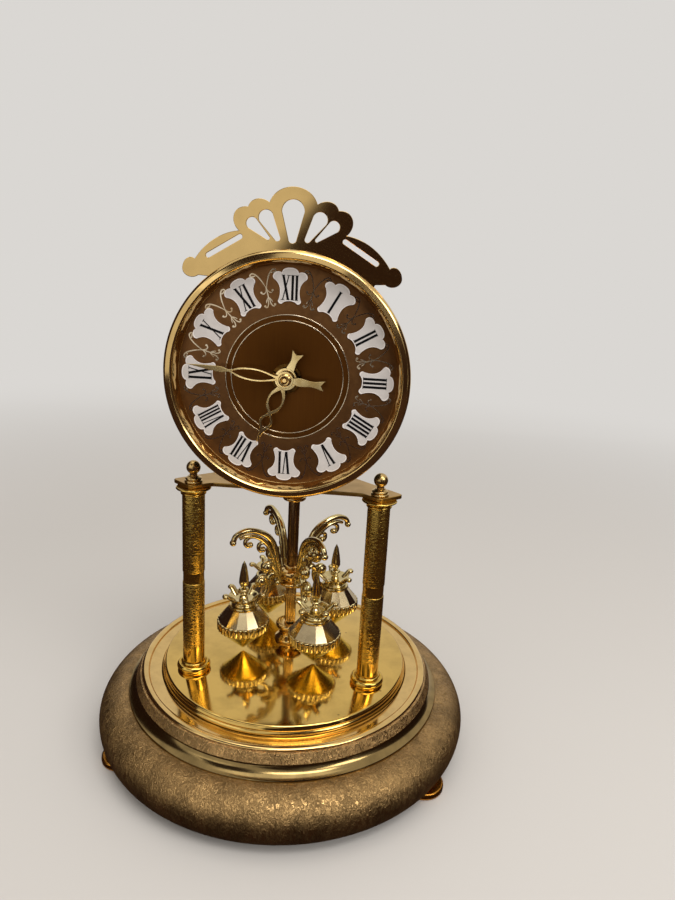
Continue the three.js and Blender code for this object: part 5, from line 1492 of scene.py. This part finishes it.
def studio_paper(air):
    """Pale paper floor that fades into the colour of the air, so that no horizon shows."""
    material, tree, shader = blank_material("pale_studio_paper", tint("floor"), 0.0, 0.8)
    place = node(tree, "TexCoord", "Object", {})
    grain = node(tree, "TexNoise", "Fac", {"Vector": place, "Scale": per_mm(2), "Detail": 3.0})
    bump = node(tree, "Bump", "Normal", {"Height": grain, "Strength": 0.3, "Distance": 0.05 * MM})
    plug(tree, shader, {"Normal": bump})
    away = node(tree, "VectorMath", "Value", {0: place}, operation="LENGTH")
    limits = {"From Min": 180 * MM, "From Max": 1100 * MM}
    fade = node(tree, "MapRange", "Result", {"Value": away, **limits}, interpolation_type="SMOOTHSTEP")
    glow = node(tree, "Emission", "Emission", {"Color": air, "Strength": 1.0})
    mixed = node(tree, "MixShader", "Shader", {0: fade, 1: shader.outputs["BSDF"], 2: glow})
    plug(tree, tree.nodes["Material Output"], {"Surface": mixed})
    return material


def soft_card():
    """Dark card with feathered edges, so that metal shows a dark reflection without a hard border."""
    material, tree, shader = blank_material("feathered_dark_card", hex_colour("342622"), 0.0, 0.9)
    place = node(tree, "TexCoord", "UV", {})
    strength = 1.0
    for axis in ("X", "Y"):
        along = node(tree, "SeparateXYZ", axis, {"Vector": place})
        off = node(tree, "Math", "Value", {0: along, 1: 0.5}, operation="SUBTRACT")
        out = node(tree, "Math", "Value", {0: off}, operation="ABSOLUTE")
        limits = {"From Min": 0.5, "From Max": 0.475}
        kept = node(tree, "MapRange", "Result", {"Value": out, **limits}, interpolation_type="SMOOTHSTEP")
        strength = node(tree, "Math", "Value", {0: strength, 1: kept}, operation="MULTIPLY")
    plug(tree, shader, {"Alpha": strength, "Specular IOR Level": 0.0})
    return material


class CLOCK_OT_stage(bpy.types.Operator):
    """Makes the floor, the soft lights, the dark cards that the metal mirrors and the camera"""

    bl_idname = "clock.stage"
    bl_label = "Stage"

    def execute(self, context):
        scene = context.scene
        scene.view_settings.view_transform = "Standard"

        air = hex_colour("DAD7D3")
        # The floor lies a little under the feet, so that no two faces share a plane.
        floor = bmesh.new()
        below = Matrix.Translation((0, 0, -0.05))
        bmesh.ops.create_circle(floor, cap_ends=True, radius=20000, segments=96, matrix=below)
        linked(floor, "floor", studio_paper(air))

        world = bpy.data.worlds.new("studio")
        scene.world = world
        world.use_nodes = True
        plug(world.node_tree, world.node_tree.nodes["Background"], {"Color": air, "Strength": 1.0})

        # Each lamp's place and size in metres, and its power in watts.
        aim = Vector((0, 0, 0.13))
        for name, place, size, power in (
            ("key", (0.72, -0.7, 0.69), (0.8, 0.34), 4.7),
            ("high", (0.26, -0.57, 1.09), (0.7, 0.3), 4.2),
            ("top", (0.0, -0.25, 1.25), (0.9, 0.9), 2.6),
            ("fill", (-0.75, -0.75, 0.95), (0.7, 0.7), 0.9),
            ("panel", (-0.14, -0.76, 0.075), (0.08, 0.05), 0.02),
        ):
            data = bpy.data.lights.new(name, "AREA")
            data.shape = "RECTANGLE"
            data.size, data.size_y = size
            data.energy = power
            lamp = bpy.data.objects.new(name, data)
            lamp.location = place
            lamp.rotation_euler = (aim - Vector(place)).to_track_quat("-Z", "Y").to_euler()
            lamp.visible_camera = False
            scene.collection.objects.link(lamp)

        # Each card's place in millimetres, its turns about Z, X and its own Z in degrees, and its half size.
        dark = soft_card()
        for name, place, turns, half in (
            ("front_card", (529, -760, 256), (0, 90, -37), (530, 450)),
            ("table_card", (0, -190, 1), (0, 0, 0), (1000, 940)),
            ("left_card", (-900, 350, 520), (90, 90, 0), (750, 560)),
            ("hand_card", (-205, -700, 82), (0, 90, 0), (50, 20)),
            ("right_card", (900, 100, 300), (90, 90, 0), (700, 330)),
            ("leaning_card", (-330, -450, 760), (-35, 40, 0), (240, 260)),
        ):
            matrix = Matrix.Translation(place)
            for degrees, axis in zip(turns, "ZXZ"):
                matrix = matrix @ Matrix.Rotation(math.radians(degrees), 4, axis)
            matrix = matrix @ Matrix.Diagonal((*half, 1, 1))
            bm = bmesh.new()
            bm.loops.layers.uv.new("UVMap")
            bmesh.ops.create_grid(bm, x_segments=1, y_segments=1, size=1, matrix=matrix, calc_uvs=True)
            card = linked(bm, name, dark)
            card.visible_camera = False
            card.visible_shadow = False
            card.visible_diffuse = False

        # The camera at the photo's angle: its right and up directions, and its place in millimetres.
        camera = bpy.data.cameras.new("camera")
        camera.lens = 26.6
        camera.sensor_width = 36
        eye = bpy.data.objects.new("camera", camera)
        right = Vector((0.99643, 0.06603, 0.05268))
        up = Vector((-0.06757, 0.24873, 0.96622))
        place = Vector((36.14, -297.04, 221.8)) * MM
        columns = (right, up, right.cross(up), place)
        eye.matrix_world = Matrix([[c[k] for c in columns] for k in range(3)] + [[0, 0, 0, 1]])
        scene.collection.objects.link(eye)
        scene.camera = eye
        return {"FINISHED"}


OPERATORS = (
    CLOCK_OT_base,
    CLOCK_OT_columns,
    CLOCK_OT_top_plate,
    CLOCK_OT_bezel,
    CLOCK_OT_dial,
    CLOCK_OT_crest,
    CLOCK_OT_hands,
    CLOCK_OT_movement,
    CLOCK_OT_stem,
    CLOCK_OT_arms,
    CLOCK_OT_weights,
    CLOCK_OT_crowns,
    CLOCK_OT_stage,
)


class CLOCK_PT_panel(bpy.types.Panel):
    """Lists the clock's sizes, colours and operators"""

    bl_idname = "CLOCK_PT_panel"
    bl_label = "Table clock"
    bl_space_type = "VIEW_3D"
    bl_region_type = "UI"
    bl_category = "Clock"

    def draw(self, context):
        for group in (context.scene.clock_sizes, context.scene.clock_colours):
            box = self.layout.box()
            for name in group.bl_rna.properties.keys():
                if name not in ("rna_type", "name"):
                    box.prop(group, name)
        for operator in OPERATORS:
            self.layout.operator(operator.bl_idname)


CLASSES = (ClockSizes, ClockColours, *OPERATORS, CLOCK_PT_panel)


def register():
    for made in CLASSES:
        bpy.utils.register_class(made)
    bpy.types.Scene.clock_sizes = bpy.props.PointerProperty(type=ClockSizes)
    bpy.types.Scene.clock_colours = bpy.props.PointerProperty(type=ClockColours)


def unregister():
    del bpy.types.Scene.clock_colours
    del bpy.types.Scene.clock_sizes
    for made in reversed(CLASSES):
        bpy.utils.unregister_class(made)


def main():
    register()
    for operator in OPERATORS:
        group, name = operator.bl_idname.split(".")
        getattr(getattr(bpy.ops, group), name)()
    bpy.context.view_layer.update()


if __name__ == "__main__":
    main()
